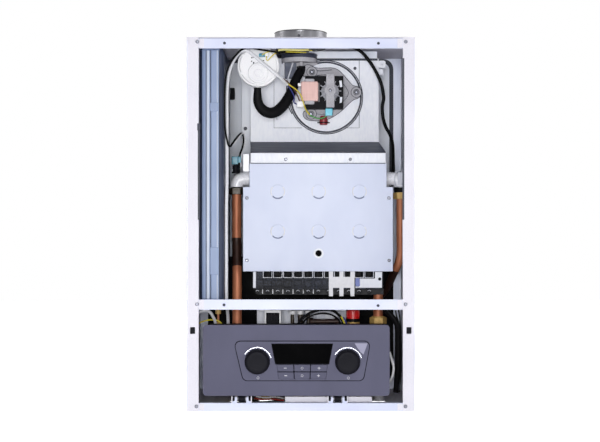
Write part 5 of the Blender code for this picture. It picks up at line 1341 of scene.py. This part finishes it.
class OBJECT_OT_boiler_switch(bpy.types.Operator):
    """Model the air pressure switch: stepped white case, spigot, terminals and marks"""

    bl_idname = "object.boiler_switch"
    bl_label = "Air pressure switch"

    def execute(self, context):
        centre = (-78.5, 292.5)
        profile = (
            (0, 62), (30, 62), (31, 61.4), (33.5, 61.4), (34.6, 62.4), (35.2, 63.6), (37.6, 64),
            (38.6, 65), (38.6, 71), (38, 72), (37, 72.4), (37, 74), (38.2, 74.6), (38.2, 84),
            (37.4, 86), (34, 88), (12, 88.4), (10, 90), (10, 149.6), (0, 149.6),
        )
        case = turned("Y", centre, profile, 96)
        face = turned(
            "Y", (-78.5, 279),
            ((0, 60.2), (10, 60.2), (10.6, 59.6), (17.6, 59.6), (18.6, 60.4), (19.2, 62.2), (0, 62.2)),
            72,
        )
        profile = (
            (0, 252.2), (3.6, 252.2), (4.4, 253.4), (3.6, 255.2), (4.4, 256.6), (3.8, 258), (4.6, 262),
            (4.6, 270), (0, 270),
        )
        spigot = turned("Z", (-79.8, 66), profile, 32)
        bosses = [
            barrel(
                "Y", (centre[0] + 33.4 * math.cos(a), centre[1] + 33.4 * math.sin(a)), (60.4, 70), 3,
                0.6, 20,
            )
            for a in (math.radians(25 + 60 * index) for index in range(6))
        ]
        switch = joined([case, face, spigot, *bosses])
        fit(
            switch, "pressure_switch_case", "white_polyamide", nodes=["pressure_switch"],
            slot="white_plastic",
        )
        marks = []
        for across, down, width, height in (
            (251.8, 57.6, 1.6, 1.4), (253.6, 57, 1.4, 1.6), (255.4, 57.8, 1.4, 1.4),
            (251.6, 61.2, 1.4, 1.2),
            (253.6, 63.6, 1.5, 3.6), (263.5, 60.4, 1.6, 1),
        ):
            x, z = seen(across, down, 61)
            marks.append(block(around(x, width * 1.6), (61.6, 62.3), around(z, height * 1.6), 0.2, 1))
        fit(marks, "switch_marks", "seal_print_and_painted_shadow")
        arcs = [
            wire(
                [(x, 59.55, z) for x, z in circle((-78.5, 279), radius, 20, start, sweep)], 0.35,
                sides=1,
            )
            for radius, start, sweep in ((14.5, 150, -120), (14.5, 210, 120), (6.5, 0, 300))
        ]
        fit(arcs, "switch_dial_lines", "pale_print")
        x, z = seen(262, 55.4, 58)
        plug = block(around(x, 11), (52, 61.8), around(z, 6), 1.2)
        fit(plug, "switch_connector", "teal_nylon")
        x, z = seen(266.8, 55, 58)
        cap = block(around(x, 7), (50, 61.8), around(z, 7.4), 1.6)
        fit(cap, "switch_terminal", "white_polyamide", slot="white_plastic")
        return {"FINISHED"}


# --- Water, gas and cables -----------------------------------------------------------------------

SLEEVE_ROUTE = (
    (-136, 104, -232), (-136, 101, -200), (-136, 88, -174), (-136, 62, -152), (-136, 45, -132),
    (-136, 42, -84), (-136, 42, -29), (-136, 42, 26), (-135, 42, 81), (-135, 42, 136), (-135, 42, 172),
    (-135, 42, 209), (-135, 42, 236), (-133, 42, 264), (-130, 42, 282), (-122, 44, 301),
    (-111, 46, 315), (-100, 47, 319), (-89, 49, 312), (-71, 52, 297), (-54, 53, 283), (-39, 60, 271),
    (-26, 85, 260),
)
SENSOR_CABLE_ROUTE = (
    (-38, 45, 314), (-71, 36, 318), (-92, 30, 320), (-105, 26, 318), (-117, 22, 307), (-126, 20, 294),
    (-134, 20, 276), (-137, 20, 257), (-138, 20, 234), (-138, 20, 210), (-138, 20, 189),
    (-137, 22, 171), (-134, 28, 153), (-130, 36, 142), (-125, 46, 148), (-119, 60, 158),
    (-114, 75, 166), (-110, 90, 169), (-108, 100, 164), (-108, 108, 155), (-111, 115, 142),
    (-115, 120, 132), (-117, 127, 120), (-117, 130, 108), (-117, 130, 99),
)
RETURN_CABLE_ROUTE = (
    (90, 90, 331.4), (98, 91, 330.5), (108, 92, 326), (117, 94, 319), (128, 96, 306), (137, 98, 293),
    (146, 100, 276), (152, 102, 261), (155, 104, 246), (156, 106, 235), (154, 108, 224),
    (154, 110, 211), (156, 114, 198), (161, 120, 184), (170, 128, 169), (175, 138, 154),
    (177, 148, 138), (178, 156, 123), (179, 164, 108), (179, 168, 90),
)
PRESSURE_HOSE_ROUTE = (
    (-80, 66, 251.6), (-80, 66, 245), (-80, 67, 237), (-79, 71, 226), (-73, 75, 215), (-62, 82, 208),
    (-49, 90, 209), (-37, 98, 218), (-26, 106, 233), (-17, 112, 251), (-9, 118, 273), (-2, 124, 287),
    (1, 128, 293), (1, 128, 299.6),
)
FLOW_SPOT = (-121.8, 130)  # x and depth of the flow pipe's top
RETURN_SPOT = (189.5, 130)  # of the return pipe's
GAS_SPOT = (146, 110)  # of the gas pipe
PRESSURE_HOSE_RADII = (6.3, 10.3, 7.5)  # at the switch, at the bend and at the fan
FLOW_PIPE_ROUTE = (
    (-121.8, 130, 62), (-121.8, 130, 20), (-121.8, 130, -27), (-120.8, 121, -61), (-120, 111, -91),
    (-120, 110, -143), (-120, 110, -185), (-120, 110, -229),
)
RETURN_PIPE_ROUTE = (
    (189.5, 130, 56), (189.5, 130, 10), (189.5, 130, -30), (189.5, 130, -54), (187.5, 131, -70),
    (182.4, 137, -84), (176.8, 149, -98), (172.6, 166, -111), (166.6, 183, -126), (155.6, 198, -141),
    (136.3, 209, -154), (108, 216, -164), (70, 218, -166), (40, 218, -167), (26, 218, -170),
    (20, 218, -178), (20, 218, -188),
)


class OBJECT_OT_boiler_hose(bpy.types.Operator):
    """Model the moulded pressure hose with its thicker bend and its two lips"""

    bl_idname = "object.boiler_hose"
    bl_label = "Pressure hose"

    def execute(self, context):
        start, middle, end = PRESSURE_HOSE_RADII
        count = len(PRESSURE_HOSE_ROUTE)
        radii = []
        for index in range(count):
            share = index / (count - 1)
            swell = math.sin(math.pi * share) ** 1.5
            radii.append((start + (end - start) * share) * (1 - swell) + middle * swell)
        hose = wire(PRESSURE_HOSE_ROUTE, 1, radii, sides=8, smooth=8)
        lips = [
            barrel("Z", (-80, 66), (248.6, 251.8), 6.9, 0.9, 40),
            barrel("Z", (1, 128), (296.2, 299.4), 8.1, 0.9, 40),
        ]
        piece = joined([hose, *lips])
        fit(piece, "pressure_hose_moulded", "epdm_rubber", nodes=["pressure_hose"], slot="black_rubber")
        return {"FINISHED"}


class OBJECT_OT_boiler_cables(bpy.types.Operator):
    """Model the fan's braided sleeve and the cables and leads of the two water sensors"""

    bl_idname = "object.boiler_cables"
    bl_label = "Cables"

    def execute(self, context):
        sleeve = wire(SLEEVE_ROUTE, 3, sides=5)
        fit(
            sleeve, "fan_sleeve_braided", "glass_sleeve", nodes=["fan_cable_sleeve"],
            slot="white_sleeve",
        )
        cable = wire(SENSOR_CABLE_ROUTE, 1.8, sides=4)
        fit(cable, "flow_sensor_cable", "pvc_sheath", nodes=["sensor_cable"], slot="black_rubber")
        twin = wire(
            [(x + 3.4, depth + 1, z) for x, depth, z in SENSOR_CABLE_ROUTE[14:-1]], 1.1, sides=3,
        )
        fit(twin, "flow_sensor_lead", "white_wire")
        cable = wire(RETURN_CABLE_ROUTE, 3.2, sides=5)
        fit(cable, "return_cable", "pvc_sheath", nodes=["return_sensor_cable"], slot="black_rubber")
        inlet = run(((277, 50.6, 48), (284, 51.2, 56), (292, 51.8, 64), (300, 51.6, 72)))
        bundle = [
            wire([(x, depth, z - lift) for x, depth, z in inlet], radius, sides=3)
            for lift, radius in ((0, 2), (2.6, 1.3))
        ]
        fit(bundle, "top_bundle", "pvc_sheath", slot="black_rubber")
        bend = ((278, 49.8), (284, 49.2), (292, 49.4), (300, 49.8), (309, 49.2))
        yellow = [
            wire(on_plane(44, *((across, down + drop) for across, down in bend)), 1.2, sides=3)
            for drop in (0, 0.8)
        ]
        fit(yellow, "top_yellow_wires", "faded_yellow")
        return {"FINISHED"}


class OBJECT_OT_boiler_vessel(bpy.types.Operator):
    """Model the expansion vessel with its rolled seam, ribs and holding clips; its flanks and the strips
    beside the ribs are painted shade, the ribs' pale bands painted highlights
    """

    bl_idname = "object.boiler_vessel"
    bl_label = "Expansion vessel"

    def execute(self, context):
        body = block((-185, -140), (30, 240), (-145, 325), 11, 6)

        # Faces that turn to the sides take the darker enamel: painted shade.
        def flank(face):
            return 1 if face.normal.x < -0.45 or face.normal.x > 0.25 else 0

        fit(
            body, "vessel_body", "vessel_enamel", "painted_shade_enamel", nodes=["expansion_vessel"],
            slot="vessel_paint", choose=flank,
        )
        seam = frame_band((-163.2, -151), 27.6, -146, 326)
        fit(seam, "vessel_seam", "vessel_enamel", slot="vessel_paint")
        # Pale bands down the ribs: painted highlights.
        lights = [
            frame_band((-171.4, -166.2), 29.2, -145.4, 325.4),
            frame_band((-152.8, -150.6), 27.2, -145.4, 325.4),
        ]
        fit(lights, "vessel_ridge_highlights", "painted_highlight_enamel", slot="vessel_paint")
        shades = [frame_band(around(x, 1.1), 29, -145.4, 325.4) for x in (-164.4, -172.2, -148.2)]
        fit(shades, "vessel_shades", "seal_print_and_painted_shadow", slot="vessel_paint")
        clips = []
        for low, high in ((205, 221), (-92, -42)):
            clips.append(block((-164.6, -148.6), (25.8, 30.4), (low, high), 1.2))
        clips.append(barrel("Y", (-156, 208), (24.8, 28), 2.6, 0.5, 20))
        fit(clips, "vessel_clips", "vessel_enamel", slot="vessel_paint")
        return {"FINISHED"}


def frame_band(x, front, low, high):
    """A rounded band down a vessel's front, proud of it."""
    return block(x, (front, front + 9), (low + 9, high - 9), 1.5, 3)


class OBJECT_OT_boiler_pipes(bpy.types.Operator):
    """Model the copper pipes with their brass nuts and rings"""

    bl_idname = "object.boiler_pipes"
    bl_label = "Copper pipes"

    def execute(self, context):
        flow = wire(FLOW_PIPE_ROUTE, 8.9, sides=9)

        def stained(face):
            return 1 if -0.080 < face.center.z < -0.028 else 0

        fit(
            flow, "flow_pipe_drawn", "copper_tube", "tarnish_and_painted_shade_copper", nodes=["flow_pipe"],
            slot="copper", choose=stained,
        )
        nut = joined(
            [hexagon(FLOW_SPOT, (56.2, 68.6), 26), barrel("Z", FLOW_SPOT, (68, 69.8), 11.4, 0.5, 40)],
        )
        fit(nut, "flow_nut", "browned_brass", slot="brass")
        back = wire(RETURN_PIPE_ROUTE, 7.4, sides=9)

        # The return pipe's lower bend takes the black copper: painted shade.
        def shaded_bend(face):
            return 1 if face.center.z < -0.090 else 0

        fit(
            back, "return_pipe_drawn", "copper_tube", "tarnish_and_painted_shade_copper", nodes=["return_pipe"],
            slot="copper", choose=shaded_bend,
        )
        ring_part = barrel("Z", RETURN_SPOT, (60.2, 69.6), 12, 0.8, 40)
        groove = ring("Z", RETURN_SPOT, 12, 0.6, 65, 40)
        fit([ring_part, groove], "return_seal_ring", "epdm_rubber", slot="black_rubber")
        nut = hexagon(RETURN_SPOT, (47.2, 60), 24)
        fit(nut, "return_nut", "turned_brass", slot="brass")
        gas = barrel("Z", GAS_SPOT, (-176, -132.4), 8.9, 0.4, 40)
        fit(gas, "gas_pipe_drawn", "copper_tube", nodes=["gas_pipe"], slot="copper")
        nut = joined(
            [
                hexagon(GAS_SPOT, (-188.6, -175.4), 28),
                barrel("Z", GAS_SPOT, (-175.6, -173.6), 12, 0.5, 40),
            ],
        )
        fit(nut, "gas_nut", "turned_brass", slot="brass")
        return {"FINISHED"}


class OBJECT_OT_boiler_hydraulics(bpy.types.Operator):
    """Finish the water block, gas valve and pump, and model the relief valve's cap"""

    bl_idname = "object.boiler_hydraulics"
    bl_label = "Hydraulics"

    def execute(self, context):
        block_piece = merged("hydraulic_block", 1.2, 3)
        fit(block_piece, "water_block", "turned_brass", nodes=["hydraulic_block"], slot="brass")
        valve = merged("gas_valve", 1.2, 3)
        fit(valve, "gas_valve_cast", "die_cast_aluminium", nodes=["gas_valve"], slot="cast_aluminium")
        pump = merged("pump", 1.5, 3)
        fit(pump, "pump_cast", "black_abs_and_shadow", nodes=["pump"], slot="black_lamination")
        x, depth = 98.6, 110
        low, high = -178, -162
        profile = (
            (0, low), (11.6, low), (12.2, low + 0.6), (12.2, low + 3), (11.4, low + 3.6),
            (11.2, high - 3), (10.4, high - 0.8), (9.6, high), (5.4, high), (4.8, high - 0.8),
            (0, high - 0.8),
        )
        cap = turned("Z", (x, depth), profile, 64)
        rib = block((x + 10.4, x + 12.4), (depth - 1.3, depth + 1.3), (low + 3, high - 1.4), 0.6)
        cap = joined([cap, *round_copies(rib, 14, "Z", (x, depth, 0))])
        fit(
            cap, "relief_cap_ribbed", "red_polypropylene", body="relief_cap", nodes=["relief_cap"],
            slot="red_plastic",
        )
        seal = barrel("Z", (x, depth), (low - 6.2, low - 0.3), 13.4, 1.4, 40)
        fit(seal, "relief_seal", "epdm_rubber", slot="black_rubber")
        neck = hexagon((x, depth), (low - 16, low - 6.4), 22)
        fit(neck, "relief_nut", "turned_brass", slot="brass")
        return {"FINISHED"}


# --- Lower bay and wiring ------------------------------------------------------------------------


def wires(name, finish, radius, *spots, slot=None):
    """One wire along spots given as (across, down, depth), or several with None between them."""
    routes = [[]]
    for spot in spots:
        if spot:
            routes[-1].append(spot)
        else:
            routes.append([])
    made = [wire(run(route), radius, sides=3) for route in routes]
    return fit(made, name, finish, slot=slot)


class OBJECT_OT_boiler_bay(bpy.types.Operator):
    """Model the fittings between the middle rail and the panel: caps, gauge, union and bypass"""

    bl_idname = "object.boiler_bay"
    bl_label = "Lower bay fittings"

    def execute(self, context):
        x, _ = seen(218.2, 312, 100)
        fitting = [
            hexagon((x, 100), (-169, -157), 9.6), barrel("Z", (x, 100), (-188.2, -184.2), 5.4, 0.6, 32),
        ]
        fit(fitting, "filling_union", "turned_brass", slot="brass")
        stem = barrel("Z", (x, 100), (-240, -168), 2, 0.2, 20)
        fit(stem, "filling_stem", "copper_tube", slot="copper")
        (left, right), (bottom, top) = window((264.8, 310), (280.7, 325.7), 95)
        rim = 2.4
        socket = frame_ring(
            rectangle((left, right), (bottom, top), 1.2),
            rectangle((left + rim, right - rim), (bottom + rim, top - 5.2), 0.8), (94, 112),
        )
        pins = [
            block(
                (left + rim + 3 + 5.5 * index, left + rim + 5 + 5.5 * index), (99, 108),
                (bottom + 8, top - 8), 0.3,
            )
            for index in range(4)
        ]
        foot = block((left + 4, right - 4), (108, 125), (-292.6, bottom + 2), 0.8)
        fit([socket, foot], "gauge_frame", "white_polyamide", slot="white_plastic")
        inside = block((left + 1.4, right - 1.4), (107, 111.6), (bottom + 1.4, top - 1.4), 0.4)
        fit([inside, *pins], "gauge_inside", "black_abs_and_shadow", slot="black_plastic")
        caps = []
        for across in (292.4, 300.3, 308.4):
            x, top = seen(across, 310.6, 105)
            caps.append(barrel("Z", (x, 105), (top - 7, top), 5.9, 0.9, 32))
        fit(caps, "bleed_caps", "white_polyamide", slot="white_plastic")
        stems = []
        for across, radius in ((292.4, 3.4), (300.3, 4.6), (308.4, 3.4)):
            x, top = seen(across, 314, 105)
            stems.append(barrel("Z", (x, 105), (-294, top + 1), radius, 0.3, 28))
        fit(stems, "bleed_stems", "browned_brass", slot="brass")
        x, z = seen(324, 321.6, 130)
        bridge = barrel("X", (130, z), (x - 27, x + 26), 5.2, 0.8, 32)
        ends = [barrel("X", (130, z), around(x + side * 24, 7), 7, 0.8, 32) for side in (-1, 1)]
        legs = [barrel("Z", (x + side * 24, 130), (-294, z), 4.6, 0.4, 28) for side in (-1, 1)]
        fit([bridge, *ends, *legs], "bypass_pipe", "tarnish_and_painted_shade_copper", slot="copper")
        return {"FINISHED"}


class OBJECT_OT_boiler_wiring(bpy.types.Operator):
    """Model the fan's loose wires, the switch's leads and the harness above the panel"""

    bl_idname = "object.boiler_wiring"
    bl_label = "Loose wiring"

    def execute(self, context):
        wires(
            "fan_blue_wire", "blue_wire", 1.1, (283, 80.5, 96), (287.2, 84.8, 94), (291.8, 91.4, 93),
            (294.3, 98, 93), (293.9, 102.2, 95), (296.5, 104, 100), (300, 104, 106),
        )
        wires(
            "fan_brown_wire", "brown_wire", 1.1, (283.4, 78.6, 97), (289.4, 83.6, 96),
            (294.2, 89.6, 96), (297.6, 96, 96), (299.4, 100.6, 100), (301, 102.8, 106),
        )
        wires(
            "fan_yellow_wire", "yellow_wire", 1.2, (284, 81.6, 92), (291, 86, 90), (296.3, 89.8, 88),
            (300.9, 95.6, 86), (303.4, 103, 90), (306.3, 110.5, 98), (309.6, 114.7, 106),
        )
        wires(
            "fan_green_wire", "green_wire", 1.2, (309.6, 114.7, 106), (313.7, 117.1, 109),
            (318.7, 118.4, 111), (324, 117.4, 110), (327.6, 114.6, 109),
        )
        wires(
            "switch_leads", "yellow_wire", 0.9, (266.5, 56, 50.5), (267, 60.3, 50), (270.4, 57.6, 50),
            (275.2, 53.3, 52), (288, 50.6, 60), (301.3, 49.6, 70), (312, 50.6, 80), None,
            (262, 55, 51.5), (266.6, 52.4, 50), (276, 51.2, 52), (290, 52, 60), (306, 52.6, 78),
        )
        wires(
            "panel_white_arc", "white_wire", 2.8, (198, 312.6, 60), (204.6, 310.4, 64),
            (209.5, 311.8, 70), (213, 316.7, 78), (215.1, 321.8, 88), (216, 330, 96),
            slot="white_sleeve",
        )
        wires(
            "panel_yellow_wire", "yellow_wire", 1.4, (196, 325.6, 88), (199.6, 323, 88),
            (204.6, 320.9, 90), (212.3, 319.8, 92), (220, 322, 92), (224, 330, 92),
        )
        wires(
            "harness_black", "black_wire", 2.6, (296, 330, 96), (300.3, 320.4, 94), (306.8, 314.9, 92),
            (314.2, 311.2, 91), (323.5, 309.8, 91), (332.7, 310.7, 91), (338.7, 314.9, 93),
            (342, 320, 95), (343.6, 330, 96),
        )
        wires(
            "harness_black_second", "black_wire", 1.8, (300.6, 330, 98), (303.5, 322, 97),
            (309.6, 316.8, 96), (318, 313.8, 95), (327, 313.6, 95), (334.4, 316.4, 96),
            (339.6, 322, 97), (341, 330, 98),
        )
        wires(
            "harness_yellow", "yellow_wire", 1.4, (341, 316.6, 92), (343.1, 320, 92),
            (344.5, 324.6, 92), (345, 331, 93),
        )
        wires(
            "harness_blue", "blue_wire", 1.4, (343.4, 317, 93), (345.4, 320.6, 93), (346.8, 325, 93),
            (347.2, 331, 94),
        )
        wires(
            "mains_hose", "black_wire", 5.2, (386.4, 310.7, 96), (391, 315.4, 94), (394.8, 320.4, 93),
            (397, 326, 93), (397.6, 340, 94), (397.6, 358, 96), (397, 376, 100), (396, 392, 106),
            slot="black_rubber",
        )
        wires(
            "mains_wires", "black_wire", 1.3, (398.6, 310, 86), (400, 320, 86), (400.8, 340, 88),
            (400.6, 370, 92), (399.6, 392, 96), None, (395.6, 310.4, 88), (396.4, 316, 88),
            (398.6, 322, 88), (399.2, 340, 90), (398.8, 370, 94), slot="black_rubber",
        )
        wires(
            "side_white_cable", "white_wire", 2.3, (389.6, 352, 60), (391.4, 358, 58), (393.6, 368, 58),
            (391.6, 378, 60), (388, 384, 66), slot="white_sleeve",
        )
        wires(
            "base_red_wire", "red_wire", 1.3, (254, 398, 90), (262, 399.6, 90), (272, 399.2, 92),
            (284, 400.6, 94),
        )
        wires(
            "base_black_wire", "black_wire", 1.5, (252, 400.6, 92), (262, 401.8, 92), (274, 401, 94),
            (288, 402.2, 96),
        )
        wires(
            "base_white_wire", "white_wire", 1.3, (256, 396.6, 94), (266, 397.6, 94), (276, 397, 95),
            (284, 398.4, 96),
        )
        return {"FINISHED"}


# --- Control panel -------------------------------------------------------------------------------


def trapezoid(top, bottom, grow=0):
    """Corners of a trapezoid from the (left, right, height) of its top and bottom edges."""
    return [
        (bottom[0] - grow, bottom[2] - grow), (bottom[1] + grow, bottom[2] - grow),
        (top[1] + grow, top[2] + grow), (top[0] - grow, top[2] + grow),
    ]


def soft_corners(outline, radius, steps=5):
    """An outline of (x, z) corners with each corner turned into an arc."""
    points = []
    for index, corner in enumerate(outline):
        corner = Vector(corner)
        back = (Vector(outline[index - 1]) - corner).normalized()
        ahead = (Vector(outline[(index + 1) % len(outline)]) - corner).normalized()
        half_angle = back.angle(ahead) / 2
        centre = corner + (back + ahead).normalized() * radius / math.sin(half_angle)
        start = (corner + back * radius / math.tan(half_angle) - centre).normalized()
        end = (corner + ahead * radius / math.tan(half_angle) - centre).normalized()
        for step in range(steps + 1):
            points.append(tuple(centre + start.slerp(end, step / steps) * radius))
    return points


BEZEL = ((-120, 125, -211), (-103, 112, -281))
DISPLAY = ((-52, 57, -215.8), (-45, 50, -251))
KEYPAD = ((-43, 48, -252.6), (-40, 45, -278.5))
HINGE_AXIS = (8, -315)  # depth and z
HINGES_X = (-106.3, 66.5)
KNOBS = {"heating_knob": (-78.3, -247.3), "hot_water_knob": (84.2, -247.6)}


class OBJECT_OT_boiler_fascia(bpy.types.Operator):
    """Model the fascia with its raised bezel, rims, display and a paler corner patch"""

    bl_idname = "object.boiler_fascia"
    bl_label = "Control fascia"

    def execute(self, context):
        fascia = merged("control_fascia", 0.7, 3)

        def raised(face):
            return 1 if face.center.y < (4.6 - CASE_DEPTH) * MM else 0

        fit(
            fascia, "fascia_moulded", "fascia_abs", "bezel_abs", body="control_panel",
            nodes=["control_fascia"], slot="grey_fascia", choose=raised,
        )
        # A dark rim round the bezel: painted shadow.
        outer = soft_corners(trapezoid(*BEZEL, 1.4), 10)
        inner = soft_corners(trapezoid(*BEZEL, -0.2), 8.8)
        rim = frame_ring(outer, inner, (4.3, 5.2), 0.3)
        fit(rim, "bezel_shadow", "black_abs_and_shadow", body="control_panel", slot="black_plastic")
        corner = [
            seen(*spot, 4.4)
            for spot in ((354.6, 343.2), (367.6, 343.2), (363.4, 354.6), (360.2, 351.6), (357, 347.4))
        ]
        fit(
            plate(corner, (3, 3.9), 0.2), "bezel_corner", "pale_abs", body="control_panel",
            slot="grey_fascia",
        )
        display = merged("display_window", 0.4, 2)
        fit(
            display, "display_cover", "black_acrylic", body="control_panel", nodes=["display_window"],
            slot="display_black",
        )
        frame_line = frame_ring(trapezoid(*DISPLAY, 1.2), trapezoid(*DISPLAY, 0.1), (3, 3.8), 0.2)
        fit(frame_line, "display_rim", "black_abs_and_shadow", body="control_panel", slot="black_plastic")
        dress("black_abs_and_shadow", "control_box")
        return {"FINISHED"}


class OBJECT_OT_boiler_knobs(bpy.types.Operator):
    """Model the two knobs with their skirts, grip flutes and silver scale arcs"""

    bl_idname = "object.boiler_knobs"
    bl_label = "Knobs"

    def execute(self, context):
        radius = context.scene.boiler_details.knob_radius
        rear, front = 3.2, -10.3
        for name, spot in KNOBS.items():
            profile = (
                (0, front + 0.4), (12, front + 0.4), (13.6, front), (radius - 4.4, front),
                (radius - 2.6, front + 0.8), (radius - 1.4, front + 2.6), (radius - 0.9, front + 8),
                (radius - 0.2, rear - 3.2), (radius + 0.7, rear - 2.4), (radius + 0.8, rear - 0.3),
                (radius, rear), (0, rear),
            )
            body = turned("Y", spot, profile, 96)
            shaft = barrel("Y", spot, (rear - 1, 15), 2.7, 0.3, 24)
            flute = barrel("Y", (spot[0] + radius - 1, spot[1]), (front + 1.6, rear - 4), 0.8, 0.5, 12)
            knob = joined([body, shaft, *round_copies(flute, 36, "Y", (spot[0], 0, spot[1]))])
            fit(knob, name + "_fluted", "black_abs_and_shadow", body=name, nodes=[name], slot="black_plastic")
            arc = circle(spot, radius + 4.4, 36, 15, 135)
            inner = circle(spot, radius + 2.9, 36, 15, 135)
            band = plate([*arc, *reversed(inner)], (3, 3.7), 0.15, 1)
            fit(band, name + "_scale", "satin_chrome", body="control_panel")
            badge = ring("Y", (spot[0] + 1.4, spot[1] - radius - 7), 2, 0.35, 3.4, 20, 6)
            fit(badge, name + "_badge", "pale_print", body="control_panel")
        return {"FINISHED"}


class OBJECT_OT_boiler_buttons(bpy.types.Operator):
    """Model the six keys with soft edges, a small generic mark each and dark dividers"""

    bl_idname = "object.boiler_buttons"
    bl_label = "Keys"

    def execute(self, context):
        for number in range(1, 7):
            node = f"button_{number}"
            key = merged(node, 0.9, 3)
            fit(key, f"key_{number}", "key_rubber", body=node, nodes=[node], slot="button_grey")
            low, high = (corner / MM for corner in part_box(node))
            x, z = (low.x + high.x) / 2, (low.z + high.z) / 2
            front = low.y + CASE_DEPTH
            if number % 3 == 1:
                mark = block(around(x, 5), (front - 0.18, front + 0.2), around(z, 1), 0.1, 1)
            elif number % 3 == 2:
                mark = ring("Y", (x, z), 1.9, 0.3, front, 24, 6)
            else:
                mark = joined(
                    [
                        block(around(x, 5), (front - 0.18, front + 0.2), around(z, 0.9), 0.1, 1),
                        block(around(x, 0.9), (front - 0.18, front + 0.2), around(z, 5), 0.1, 1),
                    ],
                )
            fit(mark, f"key_mark_{number}", "pale_print", body=node)
        dividers = []
        for share in (1 / 3, 2 / 3):
            top = KEYPAD[0][0] + (KEYPAD[0][1] - KEYPAD[0][0]) * share
            bottom = KEYPAD[1][0] + (KEYPAD[1][1] - KEYPAD[1][0]) * share
            lean = [
                (top, 4.4, KEYPAD[0][2] - 1), ((top + bottom) / 2, 4.4, -265.5),
                (bottom, 4.4, KEYPAD[1][2] + 1),
            ]
            dividers.append(wire(lean, 0.5, sides=1))
        fit(dividers, "key_dividers", "black_abs_and_shadow", body="control_panel", slot="black_plastic")
        return {"FINISHED"}


class OBJECT_OT_boiler_hinges(bpy.types.Operator):
    """Model the hinge barrels under the panel, their collars and lugs, and the base tray's edge"""

    bl_idname = "object.boiler_hinges"
    bl_label = "Panel hinges"

    def execute(self, context):
        lugs, sleeves, collars = [], [], []
        for x in HINGES_X:
            for side in (-1, 1):
                lugs.append(block(around(x + side * 17.4, 2), (2.6, 14), (-322.4, -309.6), 0.5))
                sleeves.append(barrel("X", HINGE_AXIS, around(x + side * 14.6, 4.4), 5.5, 0.8, 32))
                collars.append(barrel("X", HINGE_AXIS, around(x + side * 9.4, 6.8), 4.4, 0.8, 32))
        fit(lugs, "hinge_lugs", "powder_coat", slot="white_paint")
        fit(sleeves, "hinge_sleeves", "black_abs_and_shadow", slot="black_plastic")
        fit(collars, "hinge_collars", "dull_aluminium", slot="bright_steel")
        knuckles = [barrel("X", HINGE_AXIS, around(x, 11.6), 5.3, 0.6, 32) for x in HINGES_X]
        fit(knuckles, "hinge_knuckles", "black_abs_and_shadow", body="control_panel", slot="black_plastic")
        wide, high = window((285, 396.6), (372, 402.4), 20)
        tray = block(wide, (20, 26), high, 0.8)
        fit(tray, "base_tray_edge", "powder_coat", slot="white_paint")
        return {"FINISHED"}


# --- Add-on --------------------------------------------------------------------------------------


class VIEW3D_PT_boiler(bpy.types.Panel):
    """Lists the stage and every piece"""

    bl_label = "Gas Boiler"
    bl_idname = "VIEW3D_PT_boiler"
    bl_space_type = "VIEW_3D"
    bl_region_type = "UI"
    bl_category = "Boiler"

    def draw(self, context):
        layout = self.layout
        scene = context.scene
        for settings in (scene.boiler_stage, scene.boiler_details, scene.boiler_colours):
            for key in settings.__annotations__:
                layout.prop(settings, key)
        for operator in OPERATORS:
            layout.operator(operator.bl_idname)


SETTINGS = (BoilerStageSettings, BoilerDetailSettings, BoilerColourSettings)
OPERATORS = (
    OBJECT_OT_boiler_case,
    OBJECT_OT_boiler_rails,
    OBJECT_OT_boiler_back,
    OBJECT_OT_boiler_flue,
    OBJECT_OT_boiler_hood,
    OBJECT_OT_boiler_cover,
    OBJECT_OT_boiler_elbows,
    OBJECT_OT_boiler_burner,
    OBJECT_OT_boiler_fan,
    OBJECT_OT_boiler_motor,
    OBJECT_OT_boiler_thermostat,
    OBJECT_OT_boiler_switch,
    OBJECT_OT_boiler_hose,
    OBJECT_OT_boiler_cables,
    OBJECT_OT_boiler_vessel,
    OBJECT_OT_boiler_pipes,
    OBJECT_OT_boiler_hydraulics,
    OBJECT_OT_boiler_bay,
    OBJECT_OT_boiler_wiring,
    OBJECT_OT_boiler_fascia,
    OBJECT_OT_boiler_knobs,
    OBJECT_OT_boiler_buttons,
    OBJECT_OT_boiler_hinges,
    OBJECT_OT_boiler_stage,
)
CLASSES = (*SETTINGS, *OPERATORS, VIEW3D_PT_boiler)


def register():
    for made in CLASSES:
        bpy.utils.register_class(made)
    bpy.types.Scene.boiler_stage = bpy.props.PointerProperty(type=BoilerStageSettings)
    bpy.types.Scene.boiler_details = bpy.props.PointerProperty(type=BoilerDetailSettings)
    bpy.types.Scene.boiler_colours = bpy.props.PointerProperty(type=BoilerColourSettings)


def unregister():
    del bpy.types.Scene.boiler_colours
    del bpy.types.Scene.boiler_details
    del bpy.types.Scene.boiler_stage
    for made in reversed(CLASSES):
        bpy.utils.unregister_class(made)


def main():
    register()
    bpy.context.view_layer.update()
    for operator in OPERATORS:
        group, name = operator.bl_idname.split(".")
        getattr(getattr(bpy.ops, group), name)()


if __name__ == "__main__":
    main()
